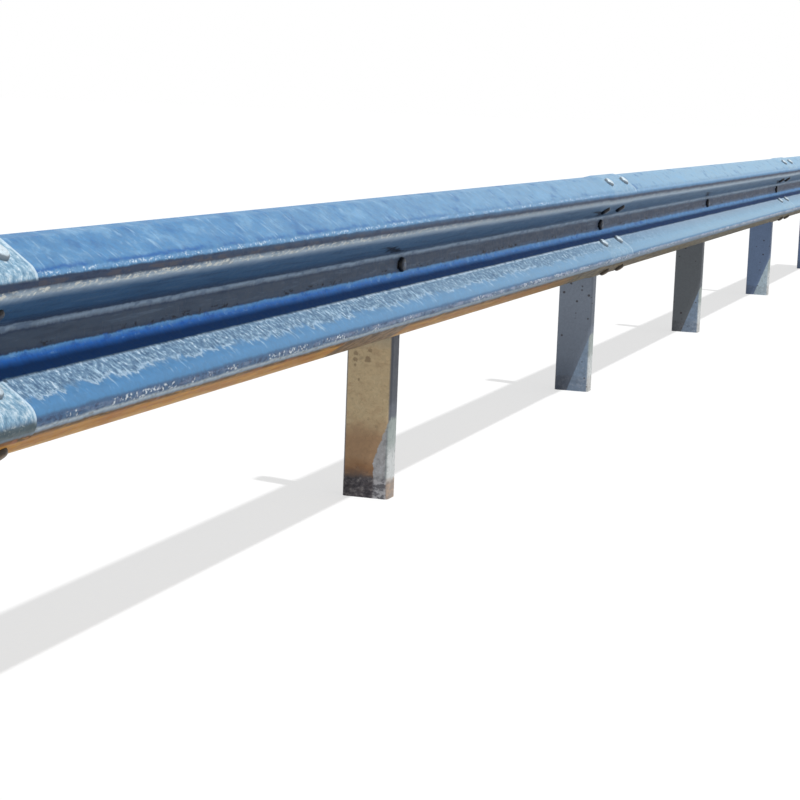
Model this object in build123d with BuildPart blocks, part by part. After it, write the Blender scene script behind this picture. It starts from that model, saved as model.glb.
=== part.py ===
from build123d import *
import os
from math import cos, radians, sin, tan

# Steel guardrail: a two-wave rail of lapped lengths, bolted straight onto C posts.
# Sizes are in millimetres. X runs along the barrier in the direction of travel,
# -Y faces the road and Z is up. The origin is on the foot of the middle post, at
# ground level, in the middle of its web's thickness.

os.makedirs("parts", exist_ok=True)

# Layout of the barrier
bay_length = 2000.0
bay_count = 6
bays_per_rail = 2
first_splice = 1
rail_centre_height = 534.0

# Rail: the depth is taken outside the sheet, and bends by their inside radius
rail_sheet = 3.0
rail_depth = 83.0
crest_spacing = 194.0
slope_angle = 55.0
wave_bend = 24.0
lip_length = 22.4
lip_tilt = 10.0
lip_bend = 10.0
lip_setback = 3.0

# Ends of the rail: bolt columns on both sides of the splice post, and the lap
splice_column_gap = 216.0
splice_end_distance = 51.0
splice_slot_length = 30.0
splice_slot_width = 20.0
post_slot_length = 60.0
post_slot_width = 20.0
joggle_length = 80.0
joggle_margin = 12.0
lap_clearance = 0.3

# Cold-formed C post: sizes outside the sheet, bends by their inside radius
post_sheet = 5.0
post_depth = 110.0
post_flange = 55.0
post_lip = 25.0
post_bend = 5.0
post_head_above_bolt = 110.0
post_bolt_hole = 18.0

# Places that follow from the sizes above
rail_overhang = splice_column_gap / 2 + splice_end_distance
lap_length = 2 * rail_overhang
lap_lift = rail_sheet + lap_clearance
post_front = -post_depth / 2
rail_front = post_front - rail_depth
web_face = -post_sheet / 2
bolt_line = web_face + post_flange / 2
middle_post = bay_count / 2
splice_posts = list(range(first_splice, bay_count, bays_per_rail))


def bolt_x(post):
    """X of the rail bolt in a post, counted from 0 at the upstream end."""
    return (post - middle_post) * bay_length + bolt_line


def bent_face(points, bends, sheet, lift):
    """Corners and radii of a bent sheet's left face after it moves outwards by lift.

    The points are the sharp corners of the face where it isn't moved. A bend to the
    left has its inside on this face, and a bend to the right has it on the other.
    """
    corners = [Vector(*point) for point in points]
    runs = [(b - a).normalized() for a, b in zip(corners, corners[1:])]
    sides = [Vector(-run.Y, run.X) for run in runs]
    moved = [corners[0] + sides[0] * lift]
    radii = []
    for corner, bend, before, after in zip(corners[1:], bends, sides, sides[1:]):
        moved.append(corner + (before + after) * (lift / (1 + before.dot(after))))
        to_left = before.cross(after).Z > 0
        radii.append(bend - lift if to_left else bend + sheet + lift)
    moved.append(corners[-1] + sides[-1] * lift)
    return moved, radii


def bent_sheet(plane, points, bends, sheet, lift=0):
    """Section of a bent sheet: its left face runs through the points, plus the lift."""
    left_corners, left_radii = bent_face(points, bends, sheet, lift)
    right_corners, right_radii = bent_face(points, bends, sheet, lift - sheet)
    with BuildSketch(plane) as section:
        with BuildLine():
            left = FilletPolyline(*left_corners, radius=left_radii)
            right = FilletPolyline(*right_corners, radius=right_radii)
            Line(left @ 0, right @ 0)
            Line(left @ 1, right @ 1)
        make_face()
    return section.sketch


def rail_profile():
    """Sharp corners of the rail's road face as Y and Z, bottom to top, and its bends."""
    slope = radians(slope_angle)
    tilt = radians(lip_tilt)
    crest_y = rail_front - (wave_bend + rail_sheet) * (1 / cos(slope) - 1)
    valley_y = post_front - rail_sheet
    end_y = post_front - lip_setback
    lip_y = end_y - lip_length * cos(tilt)
    crest = crest_spacing / 2
    valley = crest - (valley_y - crest_y) / tan(slope)
    lip = crest + (lip_y - crest_y) / tan(slope)
    end = lip + lip_length * sin(tilt)
    upper = [(valley_y, valley), (crest_y, crest), (lip_y, lip), (end_y, end)]
    lower = [(y, -z) for y, z in reversed(upper)]
    points = [(y, rail_centre_height + z) for y, z in lower + upper]
    return points, [lip_bend] + 4 * [wave_bend] + [lip_bend]


def rail_section(x, lift=0):
    """Section of the rail at x, raised towards the road by lift."""
    return bent_sheet(Plane.YZ.offset(x), *rail_profile(), rail_sheet, lift)


def slope_planes():
    """Planes in the middle of the flat part of the rail's four slopes, facing the road."""
    corners, radii = bent_face(*rail_profile(), rail_sheet, 0)
    face = FilletPolyline(*corners, radius=radii)
    flats = face.edges().filter_by(GeomType.LINE).sort_by(Axis.Y)
    planes = []
    for flat in (flats[1], flats[2], flats[4], flats[5]):
        low, high = [Vector(*vertex) for vertex in flat.vertices().sort_by(Axis.Y)]
        run = high - low
        middle = (low + high) / 2
        origin = (0, middle.X, middle.Y)
        planes.append(Plane(origin=origin, x_dir=(1, 0, 0), z_dir=(0, -run.Y, run.X)))
    return planes


def make_rail(name, first_post, last_post):
    """One length of rail, whose downstream end is raised over the next where it laps."""
    start = bolt_x(first_post) - rail_overhang
    end = bolt_x(last_post) + rail_overhang
    raised_from = end - lap_length - joggle_margin
    joggle_from = raised_from - joggle_length
    columns = [
        (bolt_x(post) + side * splice_column_gap / 2, 0)
        for post in splice_posts if post in (first_post, last_post)
        for side in (-1, 1)
    ]
    slopes = slope_planes()
    with BuildPart() as rail:
        if last_post in splice_posts:
            extrude(rail_section(start), amount=joggle_from - start)
            loft([rail_section(joggle_from), rail_section(raised_from, lap_lift)], ruled=True)
            extrude(rail_section(raised_from, lap_lift), amount=end - raised_from)
        else:
            extrude(rail_section(start), amount=end - start)
        for plane in slopes:
            with BuildSketch(plane):
                with Locations(*columns):
                    SlotOverall(splice_slot_length, splice_slot_width)
            extrude(amount=2 * lap_lift, both=True, mode=Mode.SUBTRACT)
        valley = Plane(
            origin=(0, post_front, rail_centre_height), x_dir=(1, 0, 0), z_dir=(0, -1, 0)
        )
        with BuildSketch(valley):
            with Locations(*[(bolt_x(post), 0) for post in range(first_post, last_post + 1)]):
                SlotOverall(post_slot_length, post_slot_width)
        extrude(amount=2 * lap_lift, mode=Mode.SUBTRACT)
    rail.part.label = name
    export_step(rail.part, f"parts/{name}.step")


def make_post(name, post):
    """One C post, with its closed side against the traffic, from the ground up."""
    near = bolt_x(post) - bolt_line + web_face
    far = near + post_flange
    back = -post_front
    lip = back - post_lip
    outline = [(far, -lip), (far, -back), (near, -back), (near, back), (far, back), (far, lip)]
    with BuildPart() as channel:
        extrude(
            bent_sheet(Plane.XY, outline, 4 * [post_bend], post_sheet),
            amount=rail_centre_height + post_head_above_bolt,
        )
        hole = Plane(origin=(bolt_x(post), post_front, rail_centre_height), z_dir=(0, -1, 0))
        with Locations(hole):
            Hole(post_bolt_hole / 2, depth=post_sheet)
    channel.part.label = name
    export_step(channel.part, f"parts/{name}.step")


# The section's two outer ends are cut across in the middle of a length of rail.
rail_ends = [0, *splice_posts, bay_count]
for number, (first, last) in enumerate(zip(rail_ends, rail_ends[1:]), start=1):
    make_rail(f"rail_{number}", first, last)

for post in range(bay_count + 1):
    make_post(f"post_{post + 1}", post)
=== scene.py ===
"""Finishes, hardware, light and camera for a two-wave road guardrail on C posts.

X runs along the barrier in the direction of travel, -Y faces the road and Z is up.
All lengths are in metres.
"""

import logging
import math
from dataclasses import dataclass, field
from enum import Enum
from typing import Callable, Iterable, Optional, Sequence, Union

import bmesh
import bpy
from mathutils import Matrix, Vector

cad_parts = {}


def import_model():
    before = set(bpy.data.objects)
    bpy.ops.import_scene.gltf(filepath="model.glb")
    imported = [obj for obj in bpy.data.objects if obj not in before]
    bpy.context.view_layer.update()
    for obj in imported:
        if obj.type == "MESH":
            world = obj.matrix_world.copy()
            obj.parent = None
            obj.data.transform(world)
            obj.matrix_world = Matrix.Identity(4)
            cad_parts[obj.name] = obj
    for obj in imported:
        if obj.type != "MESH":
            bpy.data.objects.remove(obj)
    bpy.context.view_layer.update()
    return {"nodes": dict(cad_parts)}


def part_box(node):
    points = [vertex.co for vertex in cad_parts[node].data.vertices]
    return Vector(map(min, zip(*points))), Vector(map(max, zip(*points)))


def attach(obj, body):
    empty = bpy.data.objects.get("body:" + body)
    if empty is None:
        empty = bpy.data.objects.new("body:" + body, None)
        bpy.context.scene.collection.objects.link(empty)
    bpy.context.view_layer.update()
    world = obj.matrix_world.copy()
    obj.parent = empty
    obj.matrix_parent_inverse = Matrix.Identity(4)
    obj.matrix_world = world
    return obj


log = logging.getLogger("guardrail")

Socket = bpy.types.NodeSocket
Number = Union[float, Socket]
Triple = tuple[float, float, float]

BODY = "root"
REACH = "reach"
CLOSE = 1e-5
MARGIN = 1e-4
FINE_ANGLE = 28.0


def linear(red: int, green: int, blue: int) -> Triple:
    """Turn a colour given as screen red, green and blue into the linear values that shaders use.

    Args:
        red: Red, from 0 to 255.
        green: Green, from 0 to 255.
        blue: Blue, from 0 to 255.

    Returns:
        The same colour as linear red, green and blue from 0 to 1.
    """
    def one(value: int) -> float:
        """Return one channel as a linear value."""
        share = value / 255
        return share / 12.92 if share <= 0.04045 else ((share + 0.055) / 1.055) ** 2.4

    return one(red), one(green), one(blue)


class Swatch(Enum):
    """Named colours, each kept as screen red, green and blue."""

    @property
    def colour(self) -> Triple:
        """The colour as a shader uses it."""
        return linear(*self.value)


Colour = Union[Triple, Socket, Swatch]


class Slot(Enum):
    """Material slots that the record names."""

    RAIL = "rail_zinc"
    POST = "post_zinc"


class Kind(Enum):
    """Pieces of hardware."""

    BOLT = "bolt"
    NUT = "nut"
    WASHER = "washer"


class Facing(Enum):
    """Which way a piece of hardware looks from its seat."""

    OUT = 1
    IN = -1


class BoltLight(Enum):
    """Which copy of the bolt finish a bolt wears: painted sunlight, painted shade, the
    underside's brown or the plain back.
    """

    SUNLIT = "washed"
    IN_SHADE = "sheltered"
    UNDER = "under"
    BACK = "back"


# --------------------------------------------------------------------------- node trees


class Graph:
    """A node tree with short calls for the nodes that the finishes use."""

    def __init__(self, tree: bpy.types.NodeTree) -> None:
        """Keep the tree that new nodes go into."""
        self.tree = tree

    def node(self, kind: str, **settings: object) -> bpy.types.Node:
        """Add a node and set its plain properties.

        Args:
            kind: Blender's name of the node type.
            settings: Properties of the node, such as an operation.

        Returns:
            The new node.
        """
        made = self.tree.nodes.new(kind)
        for name, value in settings.items():
            setattr(made, name, value)
        return made

    def feed(self, socket: Socket, value: Union[Number, Colour, Vector]) -> None:
        """Link a socket to an input, or set the input to a plain value.

        Args:
            socket: The input.
            value: A socket, a named colour or a plain value.
        """
        if isinstance(value, bpy.types.NodeSocket):
            self.tree.links.new(value, socket)
        elif isinstance(value, Swatch):
            socket.default_value = (*value.colour, 1.0)
        elif socket.type == "RGBA":
            socket.default_value = (*value, 1.0)
        else:
            socket.default_value = value

    def math(self, operation: str, first: Number, second: Number = 0.0) -> Socket:
        """Combine two numbers with a Math node.

        Args:
            operation: The Math node's operation.
            first: First number or socket.
            second: Second number or socket.

        Returns:
            The result's socket.
        """
        made = self.node("ShaderNodeMath", operation=operation)
        self.feed(made.inputs[0], first)
        self.feed(made.inputs[1], second)
        return made.outputs[0]

    def scaled(self, vector: Socket, factors: Union[Triple, Socket]) -> Socket:
        """Multiply a vector by three factors.

        Args:
            vector: The vector.
            factors: A factor for each axis.

        Returns:
            The result's socket.
        """
        made = self.node("ShaderNodeVectorMath", operation="MULTIPLY")
        self.feed(made.inputs[0], vector)
        self.feed(made.inputs[1], factors)
        return made.outputs[0]

    def range(self, value: Number, low: Number, high: Number, start: Number = 0.0,
              end: Number = 1.0, smooth: bool = True) -> Socket:
        """Map a number from one range to another, kept inside the second.

        Args:
            value: The number to map.
            low: Value that gives the start.
            high: Value that gives the end.
            start: Result at the low value.
            end: Result at the high value.
            smooth: Whether the change eases in and out.

        Returns:
            The mapped number's socket.
        """
        kind = "SMOOTHSTEP" if smooth else "LINEAR"
        made = self.node("ShaderNodeMapRange", interpolation_type=kind, clamp=True)
        for index, item in enumerate((value, low, high, start, end)):
            self.feed(made.inputs[index], item)
        return made.outputs[0]

    def fall(self, value: Number, low: Number, high: Number) -> Socket:
        """Return 1 up to the low value and 0 from the high one, with an easy change."""
        return self.range(value, low, high, 1.0, 0.0)

    def sway(self, noise: Socket, amount: Number) -> Socket:
        """Turn noise into a shift of up to half an amount either way."""
        return self.math("MULTIPLY", self.math("SUBTRACT", noise, 0.5), amount)

    def mix(self, share: Number, first: Colour, second: Colour,
            blend: str = "MIX") -> Socket:
        """Mix two colours.

        Args:
            share: How much of the second colour shows.
            first: First colour.
            second: Second colour.
            blend: The Mix node's blend type.

        Returns:
            The mixed colour's socket.
        """
        made = self.node("ShaderNodeMix", data_type="RGBA", blend_type=blend)
        self.feed(made.inputs["Factor"], share)
        self.feed(made.inputs[6], first)
        self.feed(made.inputs[7], second)
        return made.outputs[2]

    def lay(self, tone: Colour, over: Colour, *masks: Number) -> Socket:
        """Lay a second colour over a first one where every mask lets it through."""
        return self.mix(self.both(*masks), tone, over)

    def noise(self, vector: Socket, scale: Number, detail: float = 3.0,
              roughness: float = 0.5, distortion: float = 0.0) -> Socket:
        """Add noise.

        Args:
            vector: Coordinates.
            scale: Features per unit.
            detail: Octaves.
            roughness: Weight of the finer octaves.
            distortion: How much the noise is bent by itself.

        Returns:
            The noise value's socket, between 0 and 1.
        """
        made = self.node("ShaderNodeTexNoise", noise_dimensions="3D", normalize=True)
        self.feed(made.inputs["Vector"], vector)
        self.feed(made.inputs["Scale"], scale)
        made.inputs["Detail"].default_value = detail
        made.inputs["Roughness"].default_value = roughness
        made.inputs["Distortion"].default_value = distortion
        return made.outputs["Fac"]

    def streaked(self, point: Socket, per_metre: Triple, detail: float = 3.0,
                 roughness: float = 0.5) -> Socket:
        """Return noise with its own scale along each axis.

        Args:
            point: Coordinates in metres.
            per_metre: Features per metre along X, Y and Z.
            detail: Octaves of the noise.
            roughness: Weight of the finer octaves.

        Returns:
            The noise value's socket.
        """
        return self.noise(self.scaled(point, per_metre), 1.0, detail, roughness)

    def cells(self, vector: Socket, scale: Number) -> bpy.types.Node:
        """Add a texture of cells.

        Args:
            vector: Coordinates.
            scale: Cells per unit.

        Returns:
            The texture's node.
        """
        made = self.node("ShaderNodeTexVoronoi", voronoi_dimensions="3D", feature="F1")
        self.feed(made.inputs["Vector"], vector)
        self.feed(made.inputs["Scale"], scale)
        return made

    def ramp(self, value: Socket, stops: Sequence[tuple[float, Swatch]]) -> Socket:
        """Turn a number into a colour through a row of stops.

        Args:
            value: Number between 0 and 1.
            stops: Places between 0 and 1 with their colours, in rising order.

        Returns:
            The colour's socket.
        """
        made = self.node("ShaderNodeValToRGB")
        row = made.color_ramp.elements
        while len(row) < len(stops):
            row.new(1.0)
        for element, (place, tone) in zip(row, stops):
            element.position = place
            element.color = (*tone.colour, 1.0)
        self.feed(made.inputs["Fac"], value)
        return made.outputs["Color"]

    def both(self, *masks: Number) -> Socket:
        """Multiply masks together.

        Args:
            masks: The masks, the first of them first.

        Returns:
            The product.
        """
        result = masks[0]
        for mask in masks[1:]:
            result = self.math("MULTIPLY", result, mask)
        return result

    def between(self, value: Number, low: float, high: float, soft: float) -> Socket:
        """Return 1 where a number lies between two limits, with soft shoulders.

        Args:
            value: The number.
            low: Lower limit.
            high: Upper limit.
            soft: Half the width of each shoulder.

        Returns:
            The mask's socket.
        """
        rise = self.range(value, low - soft, low + soft)
        return self.math("MULTIPLY", rise, self.range(value, high - soft, high + soft, 1.0, 0.0))

    def split(self, vector: Socket) -> tuple[Socket, Socket, Socket]:
        """Take a vector apart.

        Args:
            vector: The vector.

        Returns:
            The sockets of its X, Y and Z.
        """
        made = self.node("ShaderNodeSeparateXYZ")
        self.feed(made.inputs[0], vector)
        return made.outputs[0], made.outputs[1], made.outputs[2]

    def join(self, x: Number, y: Number, z: Number) -> Socket:
        """Make a vector of three numbers.

        Args:
            x: The first number.
            y: The second number.
            z: The third number.

        Returns:
            The vector's socket.
        """
        made = self.node("ShaderNodeCombineXYZ")
        for socket, value in zip(made.inputs, (x, y, z)):
            self.feed(socket, value)
        return made.outputs[0]

    def effect(self, group: bpy.types.NodeTree, **values: object) -> Socket:
        """Place an effect's group and return its first output.

        Args:
            group: The effect's node group.
            values: Values for the group's inputs, with underscores for spaces.

        Returns:
            The first output's socket.
        """
        made = self.node("ShaderNodeGroup", node_tree=group)
        for name, value in values.items():
            self.feed(made.inputs[name.replace("_", " ")], value)
        return made.outputs[0]


class Effects:
    """Shader node groups that more than one finish uses, each built once."""

    def __init__(self) -> None:
        """Build every group."""
        self.mottle = self._group("zinc_mottle", self._build_mottle,
                                  numbers={"Scale": 90.0, "Cloud Scale": 6.0})
        self.streaks = self._group("fine_streaks", self._build_streaks,
                                   vectors={"Stretch": (40.0, 8.0, 4.0)},
                                   numbers={"Low": 0.55, "High": 0.7, "Patch Scale": 3.0,
                                            "Patch Low": 0.4, "Patch High": 0.6})
        self.specks = self._group("specks", self._build_specks,
                                  numbers={"Scale": 60.0, "Size": 0.25, "Share": 0.3})
        self.band = self._group("rough_band", self._build_band,
                                numbers={"Height": 0.0, "Centre": 0.0, "Half": 0.005,
                                         "Soft": 0.003, "Wander": 0.004, "Grain": 30.0})

    @staticmethod
    def _group(name: str, build: Callable[[Graph, bpy.types.Node], Socket],
               numbers: dict[str, float],
               vectors: Optional[dict[str, Triple]] = None) -> bpy.types.NodeTree:
        """Make one group with the pattern's coordinates, named inputs and one value output.

        Args:
            name: The group's name.
            build: Method that fills the group and returns its result.
            numbers: Number inputs with their usual values.
            vectors: Vector inputs with their usual values.

        Returns:
            The finished group.
        """
        tree = bpy.data.node_groups.new(name, "ShaderNodeTree")
        tree.interface.new_socket("Vector", in_out="INPUT", socket_type="NodeSocketVector")
        for label, usual in (vectors or {}).items():
            made = tree.interface.new_socket(label, in_out="INPUT",
                                             socket_type="NodeSocketVector")
            made.default_value = usual
        for label, value in numbers.items():
            made = tree.interface.new_socket(label, in_out="INPUT",
                                             socket_type="NodeSocketFloat")
            made.default_value = value
        tree.interface.new_socket("Mask", in_out="OUTPUT", socket_type="NodeSocketFloat")
        graph = Graph(tree)
        start = graph.node("NodeGroupInput")
        end = graph.node("NodeGroupOutput")
        graph.feed(end.inputs["Mask"], build(graph, start))
        return tree

    @staticmethod
    def _build_mottle(graph: Graph, start: bpy.types.Node) -> Socket:
        """Fill the group for zinc's crystal patches over slow clouds.

        Args:
            graph: The group's tree.
            start: The group's input node.

        Returns:
            The mask's socket.
        """
        vector = start.outputs["Vector"]
        crystals = graph.cells(vector, start.outputs["Scale"])
        tone = graph.split(crystals.outputs["Color"])[0]
        clouds = graph.noise(vector, start.outputs["Cloud Scale"], 5.0, 0.6)
        grain = graph.noise(vector, graph.math("MULTIPLY", start.outputs["Scale"], 3.0), 2.0)
        mixed = graph.math("ADD", graph.math("MULTIPLY", tone, 0.35),
                           graph.math("MULTIPLY", clouds, 0.4))
        return graph.math("ADD", mixed, graph.math("MULTIPLY", grain, 0.25))

    @staticmethod
    def _build_streaks(graph: Graph, start: bpy.types.Node) -> Socket:
        """Fill the group for thin streaks that gather in patches.

        Args:
            graph: The group's tree.
            start: The group's input node.

        Returns:
            The mask's socket.
        """
        vector = start.outputs["Vector"]
        lines = graph.noise(graph.scaled(vector, start.outputs["Stretch"]), 1.0, 4.0, 0.6, 0.4)
        patches = graph.noise(vector, start.outputs["Patch Scale"], 4.0, 0.6)
        line = graph.range(lines, start.outputs["Low"], start.outputs["High"])
        patch = graph.range(patches, start.outputs["Patch Low"], start.outputs["Patch High"])
        return graph.math("MULTIPLY", line, patch)

    @staticmethod
    def _build_specks(graph: Graph, start: bpy.types.Node) -> Socket:
        """Fill the group for scattered specks of uneven size.

        Args:
            graph: The group's tree.
            start: The group's input node.

        Returns:
            The mask's socket.
        """
        cell = graph.cells(start.outputs["Vector"], start.outputs["Scale"])
        chance, size, _ = graph.split(cell.outputs["Color"])
        reach = graph.math("MULTIPLY", start.outputs["Size"],
                           graph.math("ADD", graph.math("MULTIPLY", size, 0.8), 0.2))
        inside = graph.range(cell.outputs["Distance"], graph.math("MULTIPLY", reach, 0.6),
                             reach, 1.0, 0.0)
        kept = graph.math("LESS_THAN", chance, start.outputs["Share"])
        return graph.math("MULTIPLY", inside, kept)

    @staticmethod
    def _build_band(graph: Graph, start: bpy.types.Node) -> Socket:
        """Fill the group for a band along the barrier with a wandering edge.

        Args:
            graph: The group's tree.
            start: The group's input node.

        Returns:
            The mask's socket.
        """
        grain = graph.noise(start.outputs["Vector"], start.outputs["Grain"], 4.0, 0.65)
        shift = graph.sway(grain, start.outputs["Wander"])
        away = graph.math("SUBTRACT", graph.math("ADD", start.outputs["Height"], shift),
                          start.outputs["Centre"])
        inside = graph.math("SUBTRACT", start.outputs["Half"],
                            graph.math("ABSOLUTE", away))
        soft = start.outputs["Soft"]
        return graph.range(inside, graph.math("MULTIPLY", soft, -1.0), soft)


# ------------------------------------------------------------------------ rail's section


class Stretch(Enum):
    """Stretches of the road face, from the middle of the valley out to the edge."""

    FLAT = 0
    BEND = 1
    SLOPE = 2
    INNER_CREST = 3
    OUTER_CREST = 4
    EDGE = 5


@dataclass(frozen=True)
class RailForm:
    """Sizes of the rail's section that place its colours and hardware."""

    sheet: float = 0.003
    depth: float = 0.083
    crest_spacing: float = 0.194
    slope_angle: float = 55.0
    wave_bend: float = 0.024
    lip_length: float = 0.0224
    lip_tilt: float = 10.0
    lip_bend: float = 0.010
    lip_setback: float = 0.003
    lap_lift: float = 0.0033
    edge: float = 0.152
    column_gap: float = 0.216

    @property
    def slope(self) -> float:
        """Angle of the slopes in radians."""
        return math.radians(self.slope_angle)

    @property
    def crest_bend(self) -> float:
        """Radius of the crests on the road face."""
        return self.wave_bend + self.sheet

    @property
    def valley_trim(self) -> float:
        """Length of slope that the valley's bend takes up."""
        return self.wave_bend * math.tan(self.slope / 2)

    def height(self, stretch: Stretch, share: float) -> float:
        """Find how far a place on the road face is above or below the rail's middle.

        Args:
            stretch: The stretch that it is on.
            share: Share of the way out along the stretch.

        Returns:
            The distance from the middle.
        """
        crest = self.crest_spacing / 2
        deep = self.depth - self.sheet + self.crest_bend * (1 / math.cos(self.slope) - 1)
        valley = crest - deep / math.tan(self.slope)
        crest_trim = self.crest_bend * math.sin(self.slope)
        marks = (0.0, valley - self.valley_trim,
                 valley + self.valley_trim * math.cos(self.slope),
                 crest - crest_trim, crest, crest + crest_trim, self.edge)
        start, end = marks[stretch.value:stretch.value + 2]
        return start + share * (end - start)

    def slopes(self, front: float, centre: float) -> list[tuple[Vector, Vector]]:
        """Find the middle of the four slopes' flats on the road face.

        Args:
            front: Y of the crests' front.
            centre: Z of the rail's middle.

        Returns:
            For each slope from the top down, its middle at X = 0 and its outward normal.
        """
        slope = self.slope
        crest_y = -self.crest_bend * (1 / math.cos(slope) - 1)
        valley_y = self.depth - self.sheet
        lip_y = self.depth - self.lip_setback - self.lip_length * math.cos(
            math.radians(self.lip_tilt))
        crest_trim = self.crest_bend * math.tan(slope)
        lip_turn = math.radians(90 - self.slope_angle - self.lip_tilt)
        lip_trim = (self.lip_bend + self.sheet) * math.tan(lip_turn / 2)
        places = []
        for way, far_y, far_trim in ((1, lip_y, lip_trim), (-1, valley_y, self.valley_trim)):
            length = (far_y - crest_y) / math.sin(slope)
            along = (crest_trim + length - far_trim) / 2
            y = crest_y + along * math.sin(slope)
            z = self.crest_spacing / 2 + way * along * math.cos(slope)
            places.append((y, z, way))
        found = []
        for side in (1, -1):
            for y, z, way in places[::side]:
                normal = Vector((0, -math.cos(slope), way * side * math.sin(slope)))
                found.append((Vector((0, front + y, centre + side * z)), normal))
        return found


# ------------------------------------------------------------------------------- colours


class Tone(Swatch):
    """Tones of the rails' zinc with the light painted in: sky reflections, shade, highlights and
    the ground's reflection.
    """

    # Painted reflection of the sunlit soil in the underside, paler towards the edge.
    PALE_SOIL_REFLECTION = (220, 180, 120)
    SOIL_REFLECTION = (195, 140, 65)
    # Painted shade on the lower crest's underside bend, brown with the ground's reflection.
    BROWN_SHADE = (100, 75, 40)
    # Painted olive reflection of the ground on the underside further along.
    OLIVE_REFLECTION = (85, 75, 45)
    # Painted highlight along the crests' bends.
    PALE_HIGHLIGHT = (190, 205, 215)
    # Softer painted highlight of the bends, also tinting the far lit slopes.
    DULL = (150, 170, 190)
    # Dull blue of the crest fronts, a dimmed painted sky reflection.
    STEEL = (80, 110, 145)
    # Painted sky reflection on the slopes that look up.
    SKY = (90, 140, 185)
    # Paler painted sky sheen of the far slopes.
    HAZE = (145, 180, 205)
    # Painted shade on the slope under the upper crest.
    SLATE = (65, 100, 135)
    # Grey-blue painted shade on the far stretch, in the valley's bend, under the upper crest and
    # on the lower crest.
    MIST = (95, 120, 145)
    # Painted shade on the lower wave where the upper crest's shadow falls.
    NAVY = (35, 75, 130)
    # Painted sky reflection in the valley's lower bend, deep and then bright.
    AZURE = (50, 125, 220)
    GLINT = (105, 170, 230)
    # Painted shade of the valley.
    LEAD = (70, 85, 105)
    # Darkest painted shade, at the bends and on the crests' fronts.
    DEEP_SHADE = (55, 70, 95)


class Mark(Swatch):
    """Marks on the rails, among them painted highlights, shade and reflections."""

    SHADE = (40, 52, 74)
    CHALK = (112, 134, 158)
    # Gaps in the painted highlight along the valley's upper bend.
    LINE_GAP = (96, 116, 142)
    PALE_CHIP = (138, 162, 186)
    # Brighter and deeper blotches of the painted sky reflection in the valley's lower bend.
    BRIGHT_SKY_BLOTCH = (134, 190, 240)
    DEEP_SKY_BLOTCH = (38, 104, 196)
    SCUFF_DARKEST = (84, 108, 136)
    SCUFF_DARK = (100, 127, 154)
    SCUFF = (118, 147, 172)
    SCUFF_PALE = (152, 180, 201)
    SCUFF_PALEST = (218, 232, 242)
    SCUFF_RIM = (196, 218, 234)
    # Painted highlight along the shadow edge on the lower wave.
    SHADOW_EDGE_HIGHLIGHT = (190, 210, 226)
    PALE_CLOUD = (132, 174, 208)
    DARK_CLOUD = (66, 114, 168)
    DARK_DRIP = (68, 116, 168)
    PALE_DRIP = (180, 208, 228)
    DEEP_LINE = (52, 102, 168)
    # Painted highlights along the upper crest's bends, with sparks, gaps and glints.
    CREST_LINE = (132, 176, 218)
    CREST_SPARK = (206, 226, 242)
    CREST_DULL = (132, 138, 144)
    CREST_GLINT = (236, 236, 228)
    # Painted brown reflection of the ground and painted dark shade on the upper crest's front.
    BROWN_GROUND_REFLECTION = (96, 88, 88)
    DARK_FRONT_SHADE = (38, 52, 78)
    # Patches of painted dark ground reflection on the lower crest.
    DARK_GROUND_REFLECTION = (66, 76, 104)
    LILAC = (168, 178, 204)
    WHITE_CHIP = (226, 234, 240)
    FOOT_LINE = (122, 124, 122)
    # Streaks of the painted reflection of sunlit soil in the underside.
    RUST_SOIL_REFLECTION = (172, 104, 46)
    GOLD_SOIL_REFLECTION = (224, 168, 80)
    ROSE_SOIL_REFLECTION = (196, 122, 96)
    # Painted shade and reflection of a post on the underside in front of it.
    POST_SHADE = (84, 74, 64)
    POST_REFLECTION = (134, 116, 94)
    # Painted olive reflection of the ground on the underside further along.
    DARK_OLIVE_REFLECTION = (52, 50, 38)
    PALE_OLIVE_REFLECTION = (108, 98, 66)
    MUD = (28, 34, 48)
    # Painted reflection of a post bolt's head in the slope above it.
    BOLT_REFLECTION = (10, 20, 40)
    SCRAPE_DARK = (100, 138, 164)
    SCRAPE = (138, 174, 198)
    SCRAPE_PALE = (176, 204, 220)
    SCRAPE_WHITE = (228, 240, 246)
    LAP_MURK = (84, 98, 100)
    # Painted shadow past each lap's end, and painted highlight on the end.
    LAP_SHADOW = (60, 96, 140)
    LAP_END_HIGHLIGHT = (206, 226, 240)
    BACK_FOOT = (150, 138, 118)
    BACK_LOW = (132, 136, 138)
    BACK_MIDDLE = (120, 130, 142)
    BACK_TOP = (134, 150, 166)
    BACK_DRIP = (176, 186, 194)
    BACK_DIRT = (98, 100, 104)


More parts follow.
